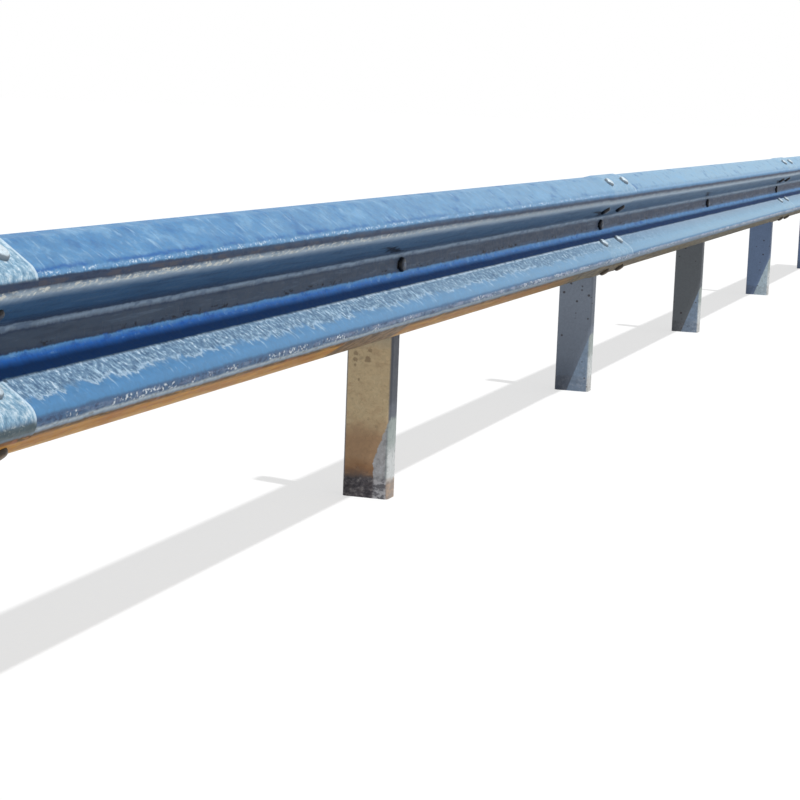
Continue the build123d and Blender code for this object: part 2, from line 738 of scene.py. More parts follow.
class PostTone(Swatch):
    """Zinc, dust and mud on the posts, with light painted in: the sunlit soil's tan bounce,
    shade high on the flanges and sunlight low on the road side.
    """

    # Flange zinc, darker higher up with painted shade under the rail.
    ZINC_LOW = (115, 120, 130)
    ZINC_SHADED = (95, 100, 110)
    # Web tones by height: a dark foot, then soil dust with the sunlit soil's tan bounce light
    # painted in.
    DAMP = (90, 85, 85)
    CLAY = (150, 115, 85)
    SAND = (170, 140, 110)
    DRY_SAND = (200, 180, 145)
    BARE = (150, 150, 145)
    DUST_CLOUD = (170, 140, 112)
    PALE_CLOUD = (206, 190, 156)
    TIDE_MARK = (158, 134, 104)
    GREY_FOOT = (90, 100, 115)
    GREY = (120, 130, 145)
    GREY_HIGH = (135, 145, 160)
    DULL_GREY = (105, 110, 115)
    BLUE_GREY = (112, 132, 164)
    # Painted sunlight on the webs below the edge of the rail's shadow, on the dusty, later and
    # last posts.
    SUNLIT_DUSTY = (174, 176, 180)
    SUNLIT_GREY = (140, 160, 184)
    SUNLIT_FAR = (196, 216, 228)
    BEND_LINE = (118, 136, 140)
    DARK_SPOT = (104, 108, 114)
    PALE_SPOT = (206, 212, 220)
    # Painted sunlight on the flanges below the rail's shadow, dimmer higher up, with darker
    # spots.
    BRIGHT_FOOT = (226, 230, 230)
    BRIGHT_LOW = (222, 226, 226)
    BRIGHT = (180, 190, 187)
    BRIGHT_HIGH = (164, 174, 171)
    BRIGHT_SPOT = (130, 140, 140)
    SPATTER = (62, 56, 58)
    MUD_SPOT = (112, 88, 68)
    DAMP_DARK = (52, 50, 56)
    DAMP_GREY = (86, 83, 88)
    DAMP_PALE = (138, 134, 134)
    TAN = (184, 160, 140)
    DULL_TAN = (160, 146, 136)
    CHALK_DARK = (100, 100, 106)
    CHALK_PALE = (184, 184, 188)


Bands = Sequence[tuple[Stretch, float, Tone]]

# Bands of the road face: a stretch, the share of the way out along it, and the tone.
# The tones paint the light: sky reflections on the faces that look up, shade in the valley and
# under the crests, highlights along the bends and the ground's reflection underneath.
# The upstream stretch of the barrier is dark and scuffed, the downstream one paler with painted
# sky sheen.
NEAR_LOW: Bands = (
    (Stretch.FLAT, 0.6, Tone.LEAD), (Stretch.BEND, 0.0, Tone.DEEP_SHADE),
    (Stretch.BEND, 0.15, Tone.GLINT), (Stretch.BEND, 0.5, Tone.AZURE),
    (Stretch.SLOPE, 0.0, Tone.NAVY), (Stretch.SLOPE, 0.22, Tone.NAVY),
    (Stretch.SLOPE, 0.28, Tone.SKY), (Stretch.INNER_CREST, 0.6, Tone.SKY),
    (Stretch.INNER_CREST, 0.8, Tone.STEEL), (Stretch.OUTER_CREST, 0.3, Tone.STEEL),
    (Stretch.OUTER_CREST, 0.5, Tone.PALE_HIGHLIGHT), (Stretch.OUTER_CREST, 0.65, Tone.DULL),
    (Stretch.OUTER_CREST, 0.85, Tone.BROWN_SHADE), (Stretch.OUTER_CREST, 1.0, Tone.BROWN_SHADE),
    (Stretch.EDGE, 0.15, Tone.SOIL_REFLECTION), (Stretch.EDGE, 0.6, Tone.SOIL_REFLECTION),
    (Stretch.EDGE, 0.9, Tone.PALE_SOIL_REFLECTION))
NEAR_HIGH: Bands = (
    (Stretch.FLAT, 0.8, Tone.LEAD), (Stretch.BEND, 0.05, Tone.DEEP_SHADE),
    (Stretch.BEND, 0.4, Tone.DULL), (Stretch.BEND, 0.55, Tone.DULL),
    (Stretch.BEND, 0.7, Tone.DEEP_SHADE), (Stretch.SLOPE, 0.15, Tone.SLATE),
    (Stretch.SLOPE, 0.8, Tone.SLATE), (Stretch.INNER_CREST, 0.1, Tone.DULL),
    (Stretch.INNER_CREST, 0.3, Tone.PALE_HIGHLIGHT), (Stretch.INNER_CREST, 0.5, Tone.DULL),
    (Stretch.INNER_CREST, 0.7, Tone.DEEP_SHADE), (Stretch.OUTER_CREST, 0.15, Tone.DEEP_SHADE),
    (Stretch.OUTER_CREST, 0.3, Tone.SKY), (Stretch.EDGE, 1.0, Tone.SKY))
FAR_LOW: Bands = (
    (Stretch.FLAT, 0.3, Tone.DEEP_SHADE), (Stretch.BEND, 0.0, Tone.STEEL),
    (Stretch.BEND, 0.3, Tone.GLINT), (Stretch.BEND, 0.6, Tone.GLINT),
    (Stretch.SLOPE, 0.0, Tone.NAVY), (Stretch.SLOPE, 0.22, Tone.NAVY),
    (Stretch.SLOPE, 0.28, Tone.DULL), (Stretch.SLOPE, 0.9, Tone.HAZE),
    (Stretch.INNER_CREST, 0.6, Tone.HAZE), (Stretch.INNER_CREST, 0.85, Tone.SKY),
    (Stretch.OUTER_CREST, 0.1, Tone.DULL), (Stretch.OUTER_CREST, 0.6, Tone.MIST),
    (Stretch.OUTER_CREST, 0.9, Tone.OLIVE_REFLECTION), (Stretch.EDGE, 0.9, Tone.OLIVE_REFLECTION))
FAR_HIGH: Bands = (
    (Stretch.FLAT, 0.9, Tone.DEEP_SHADE), (Stretch.BEND, 0.2, Tone.MIST),
    (Stretch.BEND, 0.4, Tone.DULL), (Stretch.BEND, 0.7, Tone.MIST),
    (Stretch.SLOPE, 0.7, Tone.MIST), (Stretch.SLOPE, 0.9, Tone.DULL),
    (Stretch.INNER_CREST, 0.05, Tone.PALE_HIGHLIGHT), (Stretch.INNER_CREST, 0.25, Tone.DULL),
    (Stretch.INNER_CREST, 0.6, Tone.DEEP_SHADE), (Stretch.INNER_CREST, 0.85, Tone.DEEP_SHADE),
    (Stretch.OUTER_CREST, 0.1, Tone.SKY), (Stretch.OUTER_CREST, 0.6, Tone.HAZE),
    (Stretch.EDGE, 1.0, Tone.HAZE))


class Zone(Enum):
    """Bands of the road face by height from the rail's middle: low, high and softness."""

    SHADED = (-0.010, 0.072, 0.003)
    VALLEY_LINE = (0.0175, 0.0255, 0.0015)
    HIGH_SLOPE = (0.030, 0.070, 0.002)
    # Where the bolts' painted reflections lie.
    BOLT_REFLECTION = (0.031, 0.052, 0.003)
    HIGH_CREST = (0.0905, 0.1015, 0.0015)
    # Where the painted ground reflection lies on the upper crest's front.
    HIGH_CREST_REFLECTION = (0.0905, 0.098, 0.0015)
    MUD_LINE = (-0.0135, -0.006, 0.002)
    LOW_BEND = (-0.027, -0.0145, 0.002)
    # Where the painted highlight runs along the shadow edge.
    SHADOW_EDGE_HIGHLIGHT = (-0.0475, -0.0435, 0.001)
    SCUFF_RIM = (-0.0685, -0.0655, 0.0012)
    LOW_CREST = (-0.1055, -0.0945, 0.002)
    LOW_CREST_MIDDLE = (-0.1035, -0.0955, 0.002)
    LOW_CREST_FOOT = (-0.110, -0.106, 0.0012)
    LAP_FOOT = (-0.112, -0.096, 0.004)


class Rise(Enum):
    """Heights from the rail's middle between which a mark comes in."""

    HIGH_SLOPE = (0.108, 0.114)
    SCUFF = (-0.073, -0.063)
    DRIP = (-0.085, -0.076)
    UNDERSIDE = (-0.1135, -0.1165)
    LAP_HIGH = (0.098, 0.106)
    LAP_LOW = (-0.104, -0.086)


class Fall(Enum):
    """Heights from the rail's middle between which a mark goes out."""

    SCUFF = (-0.0445, -0.0432)
    DRIP = (-0.056, -0.050)
    LAP_LOW = (-0.0455, -0.0435)


# ------------------------------------------------------------------------------ finishes


class Coat:
    """A new material with its shader and coordinates, for a finish to fill."""

    MOTTLE_RANGE = (0.3, 0.75)

    def __init__(self, name: str, effects: Effects, scale: float, clouds: float) -> None:
        """Make the material and its mottle.

        Args:
            name: The material's name.
            effects: The shared effects.
            scale: Zinc crystals per metre.
            clouds: Clouds per metre.
        """
        self.effects = effects
        self.material = bpy.data.materials.new(name)
        self.material.use_nodes = True
        self.graph = Graph(self.material.node_tree)
        self.shader = self.material.node_tree.nodes["Principled BSDF"]
        where = self.graph.node("ShaderNodeTexCoord")
        self.point = where.outputs["Object"]
        self.normal = where.outputs["Normal"]
        self.mottle = self.graph.effect(effects.mottle, Vector=self.point, Scale=scale,
                                        Cloud_Scale=clouds)

    def by_mottle(self, low: float, high: float, smooth: bool = True) -> Socket:
        """Return a number that follows the mottle from one value to another."""
        return self.graph.range(self.mottle, *self.MOTTLE_RANGE, low, high, smooth=smooth)

    def paint(self, tone: Socket, dark: float, light: float) -> None:
        """Feed the base colour, shaded by the mottle.

        Args:
            tone: The colour.
            dark: Factor in the mottle's dark parts.
            light: Factor in its light parts.
        """
        shade = self.by_mottle(dark, light, smooth=False)
        tone = self.graph.mix(1.0, tone, self.graph.join(shade, shade, shade), "MULTIPLY")
        self.graph.feed(self.shader.inputs["Base Color"], tone)

    def relief(self, height: Socket, strength: float, distance: float) -> None:
        """Feed the normal with a bump.

        Args:
            height: The bump's height.
            strength: Its strength.
            distance: Its depth in metres.
        """
        bump = self.graph.node("ShaderNodeBump")
        bump.inputs["Strength"].default_value = strength
        bump.inputs["Distance"].default_value = distance
        self.graph.feed(bump.inputs["Height"], height)
        self.graph.feed(self.shader.inputs["Normal"], bump.outputs["Normal"])


class RailFace(Coat):
    """The rails' coat, with the values that its marks are placed by."""

    CRYSTALS = 160.0
    CLOUDS = 14.0

    def __init__(self, name: str, effects: Effects, centre: float,
                 change: tuple[float, float]) -> None:
        """Make the coat and find height, distance and side.

        Args:
            name: The material's name.
            effects: The shared effects.
            centre: Z of the rail's middle.
            change: X between which the upstream look gives way to the downstream one.
        """
        super().__init__(name, effects, self.CRYSTALS, self.CLOUDS)
        self.x, _, z = self.graph.split(self.point)
        self.height = self.graph.math("SUBTRACT", z, centre)
        self.far = self.graph.range(self.x, *change, smooth=False)
        self.back = self.graph.math("GREATER_THAN", self.graph.split(self.normal)[1], 0.05)

    def zone(self, zone: Zone) -> Socket:
        """Return the mask of a band of the road face."""
        return self.graph.between(self.height, *zone.value)

    def rise(self, rise: Rise) -> Socket:
        """Return the mask of what lies past a rise."""
        return self.graph.range(self.height, *rise.value)

    def fall(self, fall: Fall) -> Socket:
        """Return the mask of what lies before a fall."""
        return self.graph.fall(self.height, *fall.value)

    def grain(self, per_metre: Triple, detail: float = 3.0, roughness: float = 0.5) -> Socket:
        """Return noise with its own scale along each axis."""
        return self.graph.streaked(self.point, per_metre, detail, roughness)

    def by_far(self, start: float, end: float, near: float, far: float) -> Socket:
        """Return a number that changes from a near value to a far one along the barrier."""
        return self.graph.range(self.far, start, end, near, far)

    def local(self, line: float, spacing: float) -> Socket:
        """Find how far along X a place is from the nearest of a row of lines.

        Args:
            line: X of one of the lines.
            spacing: Distance from one line to the next.

        Returns:
            The distance's socket, negative upstream of the line.
        """
        along = self.graph.math("ADD", self.graph.math("SUBTRACT", self.x, line), spacing / 2)
        turned = self.graph.math("FLOORED_MODULO", along, spacing)
        return self.graph.math("SUBTRACT", turned, spacing / 2)


@dataclass(frozen=True)
class RailFinish:
    """Weathered zinc on the rails, with painted sky reflections, shade and highlights, and the
    soil's reflection painted underneath.
    """

    name: str
    centre: float
    lap_line: float
    lap_spacing: float
    post_line: float
    post_spacing: float
    form: RailForm
    change: tuple[float, float] = (-3.4, 1.6)
    near_lap: tuple[float, float] = (-3.7, -3.4)
    lap_reach: float = 0.159
    lap_line_width: float = 0.006
    shade_start: float = -0.55
    shade_end: float = -0.13
    dust_start: float = -0.112
    dust_end: float = -0.118
    metallic: float = 0.25
    specular: float = 0.06
    bump: float = 0.35
    bump_depth: float = 0.0012

    def build(self, effects: Effects) -> bpy.types.Material:
        """Make the rails' material.

        Args:
            effects: The shared effects.

        Returns:
            The material.
        """
        face = RailFace(self.name, effects, self.centre, self.change)
        graph = face.graph
        tone = self._flats(face, self._tones(face))
        tone, scuffs = self._scuffs(face, tone)
        tone, drips = self._drips(face, tone)
        tone = self._high_crest(face, tone)
        tone = self._low_crest(face, tone)
        tone = self._underside(face, tone)
        tone = self._marks(face, tone)
        tone = self._laps(face, tone)
        face.paint(graph.mix(face.back, tone, self._behind(face)), 0.90, 1.09)
        clean = graph.range(face.height, self.dust_end, self.dust_start, 0.2, 1.0)
        metal = graph.range(scuffs, 0.0, 1.0, self.metallic, self.metallic * 0.5)
        graph.feed(face.shader.inputs["Metallic"], graph.both(clean, metal))
        face.shader.inputs["Specular IOR Level"].default_value = self.specular
        rough = graph.math("ADD", face.by_mottle(0.44, 0.6),
                           graph.math("MULTIPLY", scuffs, 0.12))
        graph.feed(face.shader.inputs["Roughness"], rough)
        marks = graph.math("MULTIPLY", graph.math("ADD", scuffs, drips), 0.5)
        relief = graph.math("ADD", graph.math("MULTIPLY", face.mottle, 0.35), marks)
        face.relief(relief, self.bump, self.bump_depth)
        return face.material

    def _row(self, graph: Graph, height: Socket, low: Bands, high: Bands) -> Socket:
        """Colour the road face by height from one pair of rows of bands.

        Args:
            graph: The material's tree.
            height: Height from the rail's middle.
            low: Bands below the middle.
            high: Bands above the middle.

        Returns:
            The colour's socket.
        """
        edge = self.form.edge
        halves = []
        for bands, side in ((low, -1), (high, 1)):
            start = min(side * edge, 0.0)
            placed = graph.range(height, start, start + edge, smooth=False)
            stops = [((side * self.form.height(stretch, share) - start) / edge, tone)
                     for stretch, share, tone in bands]
            halves.append(graph.ramp(placed, sorted(stops, key=lambda stop: stop[0])))
        return graph.mix(graph.math("GREATER_THAN", height, 0.0), halves[0], halves[1])

    def _tones(self, face: RailFace) -> Socket:
        """Colour the road face by height with its painted reflections, shade and highlights,
        with edges that wander along the rail.

        Args:
            face: The rails' coat.

        Returns:
            The colour's socket.
        """
        graph = face.graph
        slow = graph.sway(face.grain((14.0, 9.0, 9.0), 4.0, 0.6), 0.006)
        quick = graph.sway(face.grain((120.0, 60.0, 60.0), 2.0), 0.0035)
        placed = graph.math("ADD", face.height, graph.math("ADD", slow, quick))
        return graph.mix(face.far, self._row(graph, placed, NEAR_LOW, NEAR_HIGH),
                         self._row(graph, placed, FAR_LOW, FAR_HIGH))

    @staticmethod
    def _flats(face: RailFace, tone: Socket) -> Socket:
        """Streak the valley and the shaded slope, break up the painted highlight along the
        valley's upper bend, and blotch the painted sky reflection in its lower bend.

        Args:
            face: The rails' coat.
            tone: The colour so far.

        Returns:
            The colour's socket.
        """
        graph = face.graph
        grain = face.grain((7.0, 90.0, 90.0), 4.0, 0.6)
        shaded = face.zone(Zone.SHADED)
        dark = graph.mix(0.45, tone, Mark.SHADE)
        light = graph.mix(0.4, tone, Mark.CHALK)
        tone = graph.lay(tone, dark, shaded, graph.range(grain, 0.48, 0.36), 0.7)
        tone = graph.lay(tone, light, shaded, graph.range(grain, 0.54, 0.68), 0.7)
        # Break up the painted highlight along the valley's upper bend.
        gaps = graph.range(face.grain((30.0, 40.0, 40.0)), 0.5, 0.36)
        tone = graph.lay(tone, Mark.LINE_GAP, face.zone(Zone.VALLEY_LINE), gaps, 0.7)
        chips = graph.effect(face.effects.specks, Scale=46.0, Size=0.12, Share=0.3,
                             Vector=graph.scaled(face.point, (1.0, 1.4, 1.4)))
        tone = graph.lay(tone, Mark.PALE_CHIP, face.zone(Zone.HIGH_SLOPE), chips, 0.7)
        # Blotches of the painted sky reflection in the valley's lower bend.
        sky_blotches = face.grain((24.0, 50.0, 50.0), 4.0, 0.65)
        bend = face.zone(Zone.LOW_BEND)
        tone = graph.lay(tone, Mark.BRIGHT_SKY_BLOTCH, bend, graph.range(sky_blotches, 0.54, 0.66), 0.6)
        return graph.lay(tone, Mark.DEEP_SKY_BLOTCH, bend, graph.range(sky_blotches, 0.46, 0.36), 0.6)

    @staticmethod
    def _scuffs(face: RailFace, tone: Socket) -> tuple[Socket, Socket]:
        """Scuff the lower wave's upper slope, and paint a broken highlight along the shadow edge
        at its top.

        Args:
            face: The rails' coat.
            tone: The colour so far.

        Returns:
            The sockets of the colour and of the scuffed area's mask.
        """
        graph = face.graph
        ragged = graph.sway(face.grain((22.0, 12.0, 12.0), 5.0, 0.72), 0.045)
        low = graph.math("ADD", face.height, ragged)
        area = graph.both(graph.range(low, *Rise.SCUFF.value), face.fall(Fall.SCUFF))
        grain = graph.math("MULTIPLY", face.grain((140.0, 120.0, 120.0), 4.0, 0.62), 0.68)
        lean = graph.math("MULTIPLY", face.grain((110.0, 42.0, 42.0), 3.0, 0.6), 0.32)
        mixed = graph.range(graph.math("ADD", grain, lean), 0.36, 0.64, smooth=False)
        rough = graph.ramp(mixed, (
            (0.0, Mark.SCUFF_DARKEST), (0.3, Mark.SCUFF_DARK), (0.52, Mark.SCUFF),
            (0.72, Mark.SCUFF_PALE), (1.0, Mark.SCUFF_PALEST)))
        fade = face.by_far(0.45, 0.95, 1.0, 0.12)
        tone = graph.lay(tone, rough, area, fade, 0.9)
        rim_line = graph.between(low, *Zone.SCUFF_RIM.value)
        broken = graph.range(face.grain((18.0, 30.0, 30.0)), 0.44, 0.56)
        tone = graph.lay(tone, Mark.SCUFF_RIM, rim_line, broken, fade, 0.55)
        # Paint a broken highlight along the shadow edge at the top of the scuffs.
        lit = graph.range(face.grain((60.0, 60.0, 60.0), 3.0, 0.6), 0.38, 0.54)
        halfway = graph.range(graph.between(face.far, 0.2, 0.7, 0.12), 0.0, 1.0, 0.25, 0.95)
        tone = graph.lay(tone, Mark.SHADOW_EDGE_HIGHLIGHT, face.zone(Zone.SHADOW_EDGE_HIGHLIGHT), lit, halfway)
        return tone, area

    @staticmethod
    def _drips(face: RailFace, tone: Socket) -> tuple[Socket, Socket]:
        """Run pale and dark streaks down the slopes that face the sky.

        Args:
            face: The rails' coat.
            tone: The colour so far.

        Returns:
            The sockets of the colour and of the pale streaks' mask.
        """
        graph = face.graph
        streaks = face.effects.streaks
        top = face.rise(Rise.HIGH_SLOPE)
        low = graph.both(face.rise(Rise.DRIP), face.fall(Fall.DRIP))
        bent = graph.node("ShaderNodeVectorMath", operation="ADD")
        graph.feed(bent.inputs[0], face.point)
        sway = graph.sway(graph.noise(face.point, 7.0, 2.0), 0.03)
        graph.feed(bent.inputs[1], graph.join(sway, 0.0, 0.0))
        course = bent.outputs["Vector"]
        pale = graph.effect(streaks, Vector=course, Stretch=(92.0, 27.0, 27.0), Low=0.53,
                            High=0.67, Patch_Scale=15.0, Patch_Low=0.44, Patch_High=0.58)
        dark = graph.effect(streaks, Vector=graph.scaled(course, (1.0, 1.0, -1.0)),
                            Stretch=(70.0, 26.0, 26.0), Low=0.54, High=0.70,
                            Patch_Scale=12.0, Patch_Low=0.44, Patch_High=0.6)
        near = face.by_far(0.3, 0.8, 1.0, 0.12)
        clouds = face.grain((15.0, 22.0, 22.0), 5.0, 0.65)
        tone = graph.lay(tone, Mark.PALE_CLOUD, top, graph.range(clouds, 0.48, 0.66), 0.6)
        tone = graph.lay(tone, Mark.DARK_CLOUD, top, graph.range(clouds, 0.47, 0.32), 0.6)
        tone = graph.lay(tone, Mark.DARK_DRIP, dark, top, near, 0.5)
        sunlit = graph.math("MAXIMUM", graph.math("MULTIPLY", top, 0.5), low)
        return graph.lay(tone, Mark.PALE_DRIP, pale, sunlit, near, 0.85), pale

    @staticmethod
    def _high_crest(face: RailFace, tone: Socket) -> Socket:
        """Paint the upper crest's highlights as broken lines and glints, with blots of painted
        ground reflection and shade on its front.

        Args:
            face: The rails' coat.
            tone: The colour so far.

        Returns:
            The colour's socket.
        """
        graph = face.graph
        band = face.effects.band
        fine = graph.effect(face.effects.streaks, Vector=face.point,
                            Stretch=(190.0, 240.0, 240.0), Low=0.52, High=0.58,
                            Patch_Scale=30.0, Patch_Low=0.42, Patch_High=0.52)
        near = face.by_far(0.0, 0.5, 1.0, 0.25)
        deep = graph.effect(band, Vector=face.point, Height=face.height, Centre=0.1125,
                            Half=0.0024, Soft=0.0028, Wander=0.012, Grain=30.0)
        gaps = graph.range(graph.noise(face.point, 9.0, 4.0, 0.6), 0.38, 0.56)
        tone = graph.lay(tone, Mark.DEEP_LINE, deep, gaps, near, 0.8)
        # Painted highlight along the crest's upper bend, sparkling on the near stretch.
        line = graph.effect(band, Vector=face.point, Height=face.height, Centre=0.1063,
                            Half=0.0026, Soft=0.0018, Wander=0.010, Grain=46.0)
        tone = graph.lay(tone, Mark.CREST_LINE, line, 0.4)
        sparks = graph.both(fine, face.by_far(0.4, 0.9, 0.95, 0.2))
        tone = graph.lay(tone, Mark.CREST_SPARK, line, sparks)
        # Broken painted highlight along the crest's lower bend, with glints.
        pale = graph.effect(band, Vector=face.point, Height=face.height, Centre=0.0835,
                            Half=0.0046, Soft=0.002, Wander=0.008, Grain=40.0)
        dull = graph.range(face.grain((24.0, 50.0, 50.0), 4.0, 0.6), 0.5, 0.38)
        tone = graph.lay(tone, Mark.CREST_DULL, pale, dull, near, 0.4)
        glint = graph.range(face.grain((70.0, 150.0, 150.0), 4.0, 0.65), 0.50, 0.60)
        tone = graph.lay(tone, Mark.CREST_GLINT, pale, glint, near, 0.85)
        # Blots of painted brown ground reflection and dark shade on the crest's front.
        blots = face.grain((16.0, 70.0, 70.0), 5.0, 0.65)
        brown = graph.both(face.zone(Zone.HIGH_CREST_REFLECTION), face.by_far(0.0, 0.4, 0.45, 0.0))
        tone = graph.lay(tone, Mark.BROWN_GROUND_REFLECTION, brown, graph.range(blots, 0.50, 0.60))
        dark = graph.both(graph.range(blots, 0.47, 0.36), face.by_far(0.2, 0.7, 0.6, 0.1))
        return graph.lay(tone, Mark.DARK_FRONT_SHADE, face.zone(Zone.HIGH_CREST), dark)

    @staticmethod
    def _low_crest(face: RailFace, tone: Socket) -> Socket:
        """Break up the lower crest with patches of painted dark ground reflection, pale patches,
        a lilac cast and white chips.

        Args:
            face: The rails' coat.
            tone: The colour so far.

        Returns:
            The colour's socket.
        """
        graph = face.graph
        chips = graph.effect(face.effects.streaks, Stretch=(120.0, 190.0, 190.0), Low=0.545,
                             Vector=graph.scaled(face.point, (1.0, -1.0, 1.0)), High=0.585,
                             Patch_Scale=11.0, Patch_Low=0.46, Patch_High=0.54)
        blotches = face.grain((60.0, 110.0, 110.0), 4.0, 0.7)
        crest_band = face.zone(Zone.LOW_CREST)
        # Patches of painted dark ground reflection on the lower crest.
        tone = graph.lay(tone, Mark.DARK_GROUND_REFLECTION, crest_band, graph.range(blotches, 0.50, 0.60), 0.7)
        tone = graph.lay(tone, Mark.CHALK, crest_band, graph.range(blotches, 0.46, 0.38), 0.5)
        cast = graph.range(face.grain((20.0, 90.0, 90.0), 4.0, 0.65), 0.48, 0.58)
        tone = graph.lay(tone, Mark.LILAC, face.zone(Zone.LOW_CREST_MIDDLE), cast,
                         face.by_far(0.05, 0.4, 0.2, 0.6))
        tone = graph.lay(tone, Mark.WHITE_CHIP, crest_band, chips, 0.95)
        return graph.lay(tone, Mark.FOOT_LINE, face.zone(Zone.LOW_CREST_FOOT),
                         graph.range(blotches, 0.50, 0.40), 0.6)

    def _underside(self, face: RailFace, tone: Socket) -> Socket:
        """Paint the sunlit soil's reflection under the lower crest in streaks, olive further
        along, and a post's grey reflection and shade in front of each post.

        Args:
            face: The rails' coat.
            tone: The colour so far.

        Returns:
            The colour's socket.
        """
        graph = face.graph
        below = face.rise(Rise.UNDERSIDE)
        local = face.local(self.post_line, self.post_spacing)
        at_post = graph.between(local, self.shade_start, self.shade_end, 0.02)
        runs = face.grain((9.0, 70.0, 70.0), 4.0, 0.65)
        blots = face.grain((34.0, 50.0, 50.0), 4.0, 0.65)
        near = face.by_far(0.3, 0.75, 1.0, 0.2)
        # Streaks of the painted reflection of sunlit soil.
        for dust, noise, none, full, share in (
                (Mark.RUST_SOIL_REFLECTION, runs, 0.5, 0.62, 0.55), (Mark.GOLD_SOIL_REFLECTION, runs, 0.47, 0.36, 0.5),
                (Mark.ROSE_SOIL_REFLECTION, blots, 0.56, 0.64, 0.4)):
            tone = graph.lay(tone, dust, below, near, graph.range(noise, none, full), share)
        # Painted shade and reflection of each post on the underside in front of it.
        patchy = graph.range(blots, 0.42, 0.6)
        grey = graph.mix(patchy, Mark.POST_SHADE, Mark.POST_REFLECTION)
        tone = graph.lay(tone, grey, below, at_post, 0.85)
        # Painted olive reflection of the ground further along.
        olive_tone = graph.mix(patchy, Mark.DARK_OLIVE_REFLECTION, Mark.PALE_OLIVE_REFLECTION)
        return graph.lay(tone, olive_tone, below, face.by_far(0.5, 0.62, 0.0, 1.0), 0.8)

    def _marks(self, face: RailFace, tone: Socket) -> Socket:
        """Put mud specks in the valley and a painted reflection of each post bolt's head on the
        slope above it.

        Args:
            face: The rails' coat.
            tone: The colour so far.

        Returns:
            The colour's socket.
        """
        graph = face.graph
        mud = graph.effect(face.effects.streaks, Vector=face.point,
                           Stretch=(46.0, 110.0, 110.0), Low=0.53, High=0.58,
                           Patch_Scale=7.0, Patch_Low=0.48, Patch_High=0.54)
        tone = graph.lay(tone, Mark.MUD, mud, face.zone(Zone.MUD_LINE), 0.9)
        # Painted reflection of each post bolt's head, a little upstream on the slope above.
        lean = graph.math("ADD", face.local(self.post_line, self.post_spacing),
                          graph.math("MULTIPLY", face.height, 8.0))
        lean = graph.math("ADD", lean, graph.sway(face.grain((36.0, 90.0, 90.0)), 0.2))
        bolt_reflection_mask = graph.both(graph.between(lean, 0.17, 0.25, 0.03), face.zone(Zone.BOLT_REFLECTION))
        return graph.lay(tone, Mark.BOLT_REFLECTION, bolt_reflection_mask, 0.95)

    def _laps(self, face: RailFace, tone: Socket) -> Socket:
        """Whiten the scraped upper sheet of each lap, paint a highlight on its end and a shadow
        on the sheet just past it.

        Args:
            face: The rails' coat.
            tone: The colour so far.

        Returns:
            The colour's socket.
        """
        graph = face.graph
        reach = self.lap_reach
        local = face.local(self.lap_line, self.lap_spacing)
        lap = graph.between(local, -reach, reach, 0.001)
        sky = graph.math("MAXIMUM", face.rise(Rise.LAP_HIGH),
                         graph.both(face.rise(Rise.LAP_LOW), face.fall(Fall.LAP_LOW)))
        near = graph.range(face.x, *self.near_lap, 0.85, 0.25)
        grain = face.grain((110.0, 75.0, 75.0), 6.0, 0.72)
        scraped = graph.ramp(graph.range(grain, 0.34, 0.64, smooth=False), (
            (0.0, Mark.SCRAPE_DARK), (0.4, Mark.SCRAPE), (0.65, Mark.SCRAPE_PALE),
            (1.0, Mark.SCRAPE_WHITE)))
        tone = graph.lay(tone, scraped, lap, sky, near)
        nearest = graph.range(face.x, *self.near_lap[::-1])
        tone = graph.lay(tone, Mark.LAP_MURK, lap, face.zone(Zone.LAP_FOOT), nearest, 0.85)
        # Painted shadow past the lap's end and painted highlight on the end.
        shore = graph.between(local, reach, reach + self.lap_line_width, 0.002)
        tone = graph.lay(tone, Mark.LAP_SHADOW, shore, sky, 0.5)
        end = graph.between(local, reach - self.lap_line_width, reach + 0.002, 0.0015)
        return graph.lay(tone, Mark.LAP_END_HIGHLIGHT, end, sky, 0.8)

    @staticmethod
    def _behind(face: RailFace) -> Socket:
        """Colour the side that faces away from the road.

        Args:
            face: The rails' coat.

        Returns:
            The colour's socket.
        """
        graph = face.graph
        plain = graph.ramp(graph.range(face.height, -0.155, 0.155, smooth=False), (
            (0.0, Mark.BACK_FOOT), (0.18, Mark.BACK_LOW), (0.5, Mark.BACK_MIDDLE),
            (1.0, Mark.BACK_TOP)))
        drips = graph.effect(face.effects.streaks, Vector=face.point,
                             Stretch=(46.0, 6.0, 5.0), Low=0.5, High=0.7, Patch_Scale=5.0,
                             Patch_Low=0.4, Patch_High=0.6)
        plain = graph.lay(plain, Mark.BACK_DRIP, drips, 0.45)
        return graph.lay(plain, Mark.BACK_DIRT, graph.range(face.mottle, 0.42, 0.62), 0.35)


class PostFace(Coat):
    """The posts' coat, with the values that its marks are placed by."""

    CRYSTALS = 170.0
    CLOUDS = 20.0
    LATER = (-1.2, -0.8)
    LAST = (2.6, 3.2)

    def __init__(self, name: str, effects: Effects) -> None:
        """Make the coat and find place, side and distance.

        Args:
            name: The material's name.
            effects: The shared effects.
        """
        super().__init__(name, effects, self.CRYSTALS, self.CLOUDS)
        self.x, self.y, self.z = self.graph.split(self.point)
        looks = self.graph.math("ABSOLUTE", self.graph.split(self.normal)[1])
        self.flange = self.graph.range(looks, 0.3, 0.8)
        ragged = self.graph.sway(self.graph.noise(self.point, 30.0, 4.0, 0.6), 0.03)
        self.height = self.graph.math("ADD", self.z, ragged)
        self.later = self.graph.range(self.x, *self.LATER)
        self.last = self.graph.range(self.x, *self.LAST)

    def along(self, first: float, later: float) -> Socket:
        """Return a number with one value on the first posts and another on later ones."""
        return self.graph.range(self.later, 0.0, 1.0, first, later)


@dataclass(frozen=True)
class MudSpot:
    """A mud spot's place on a post's web, from its front and from the ground."""

    across: float
    up: float
    size: float


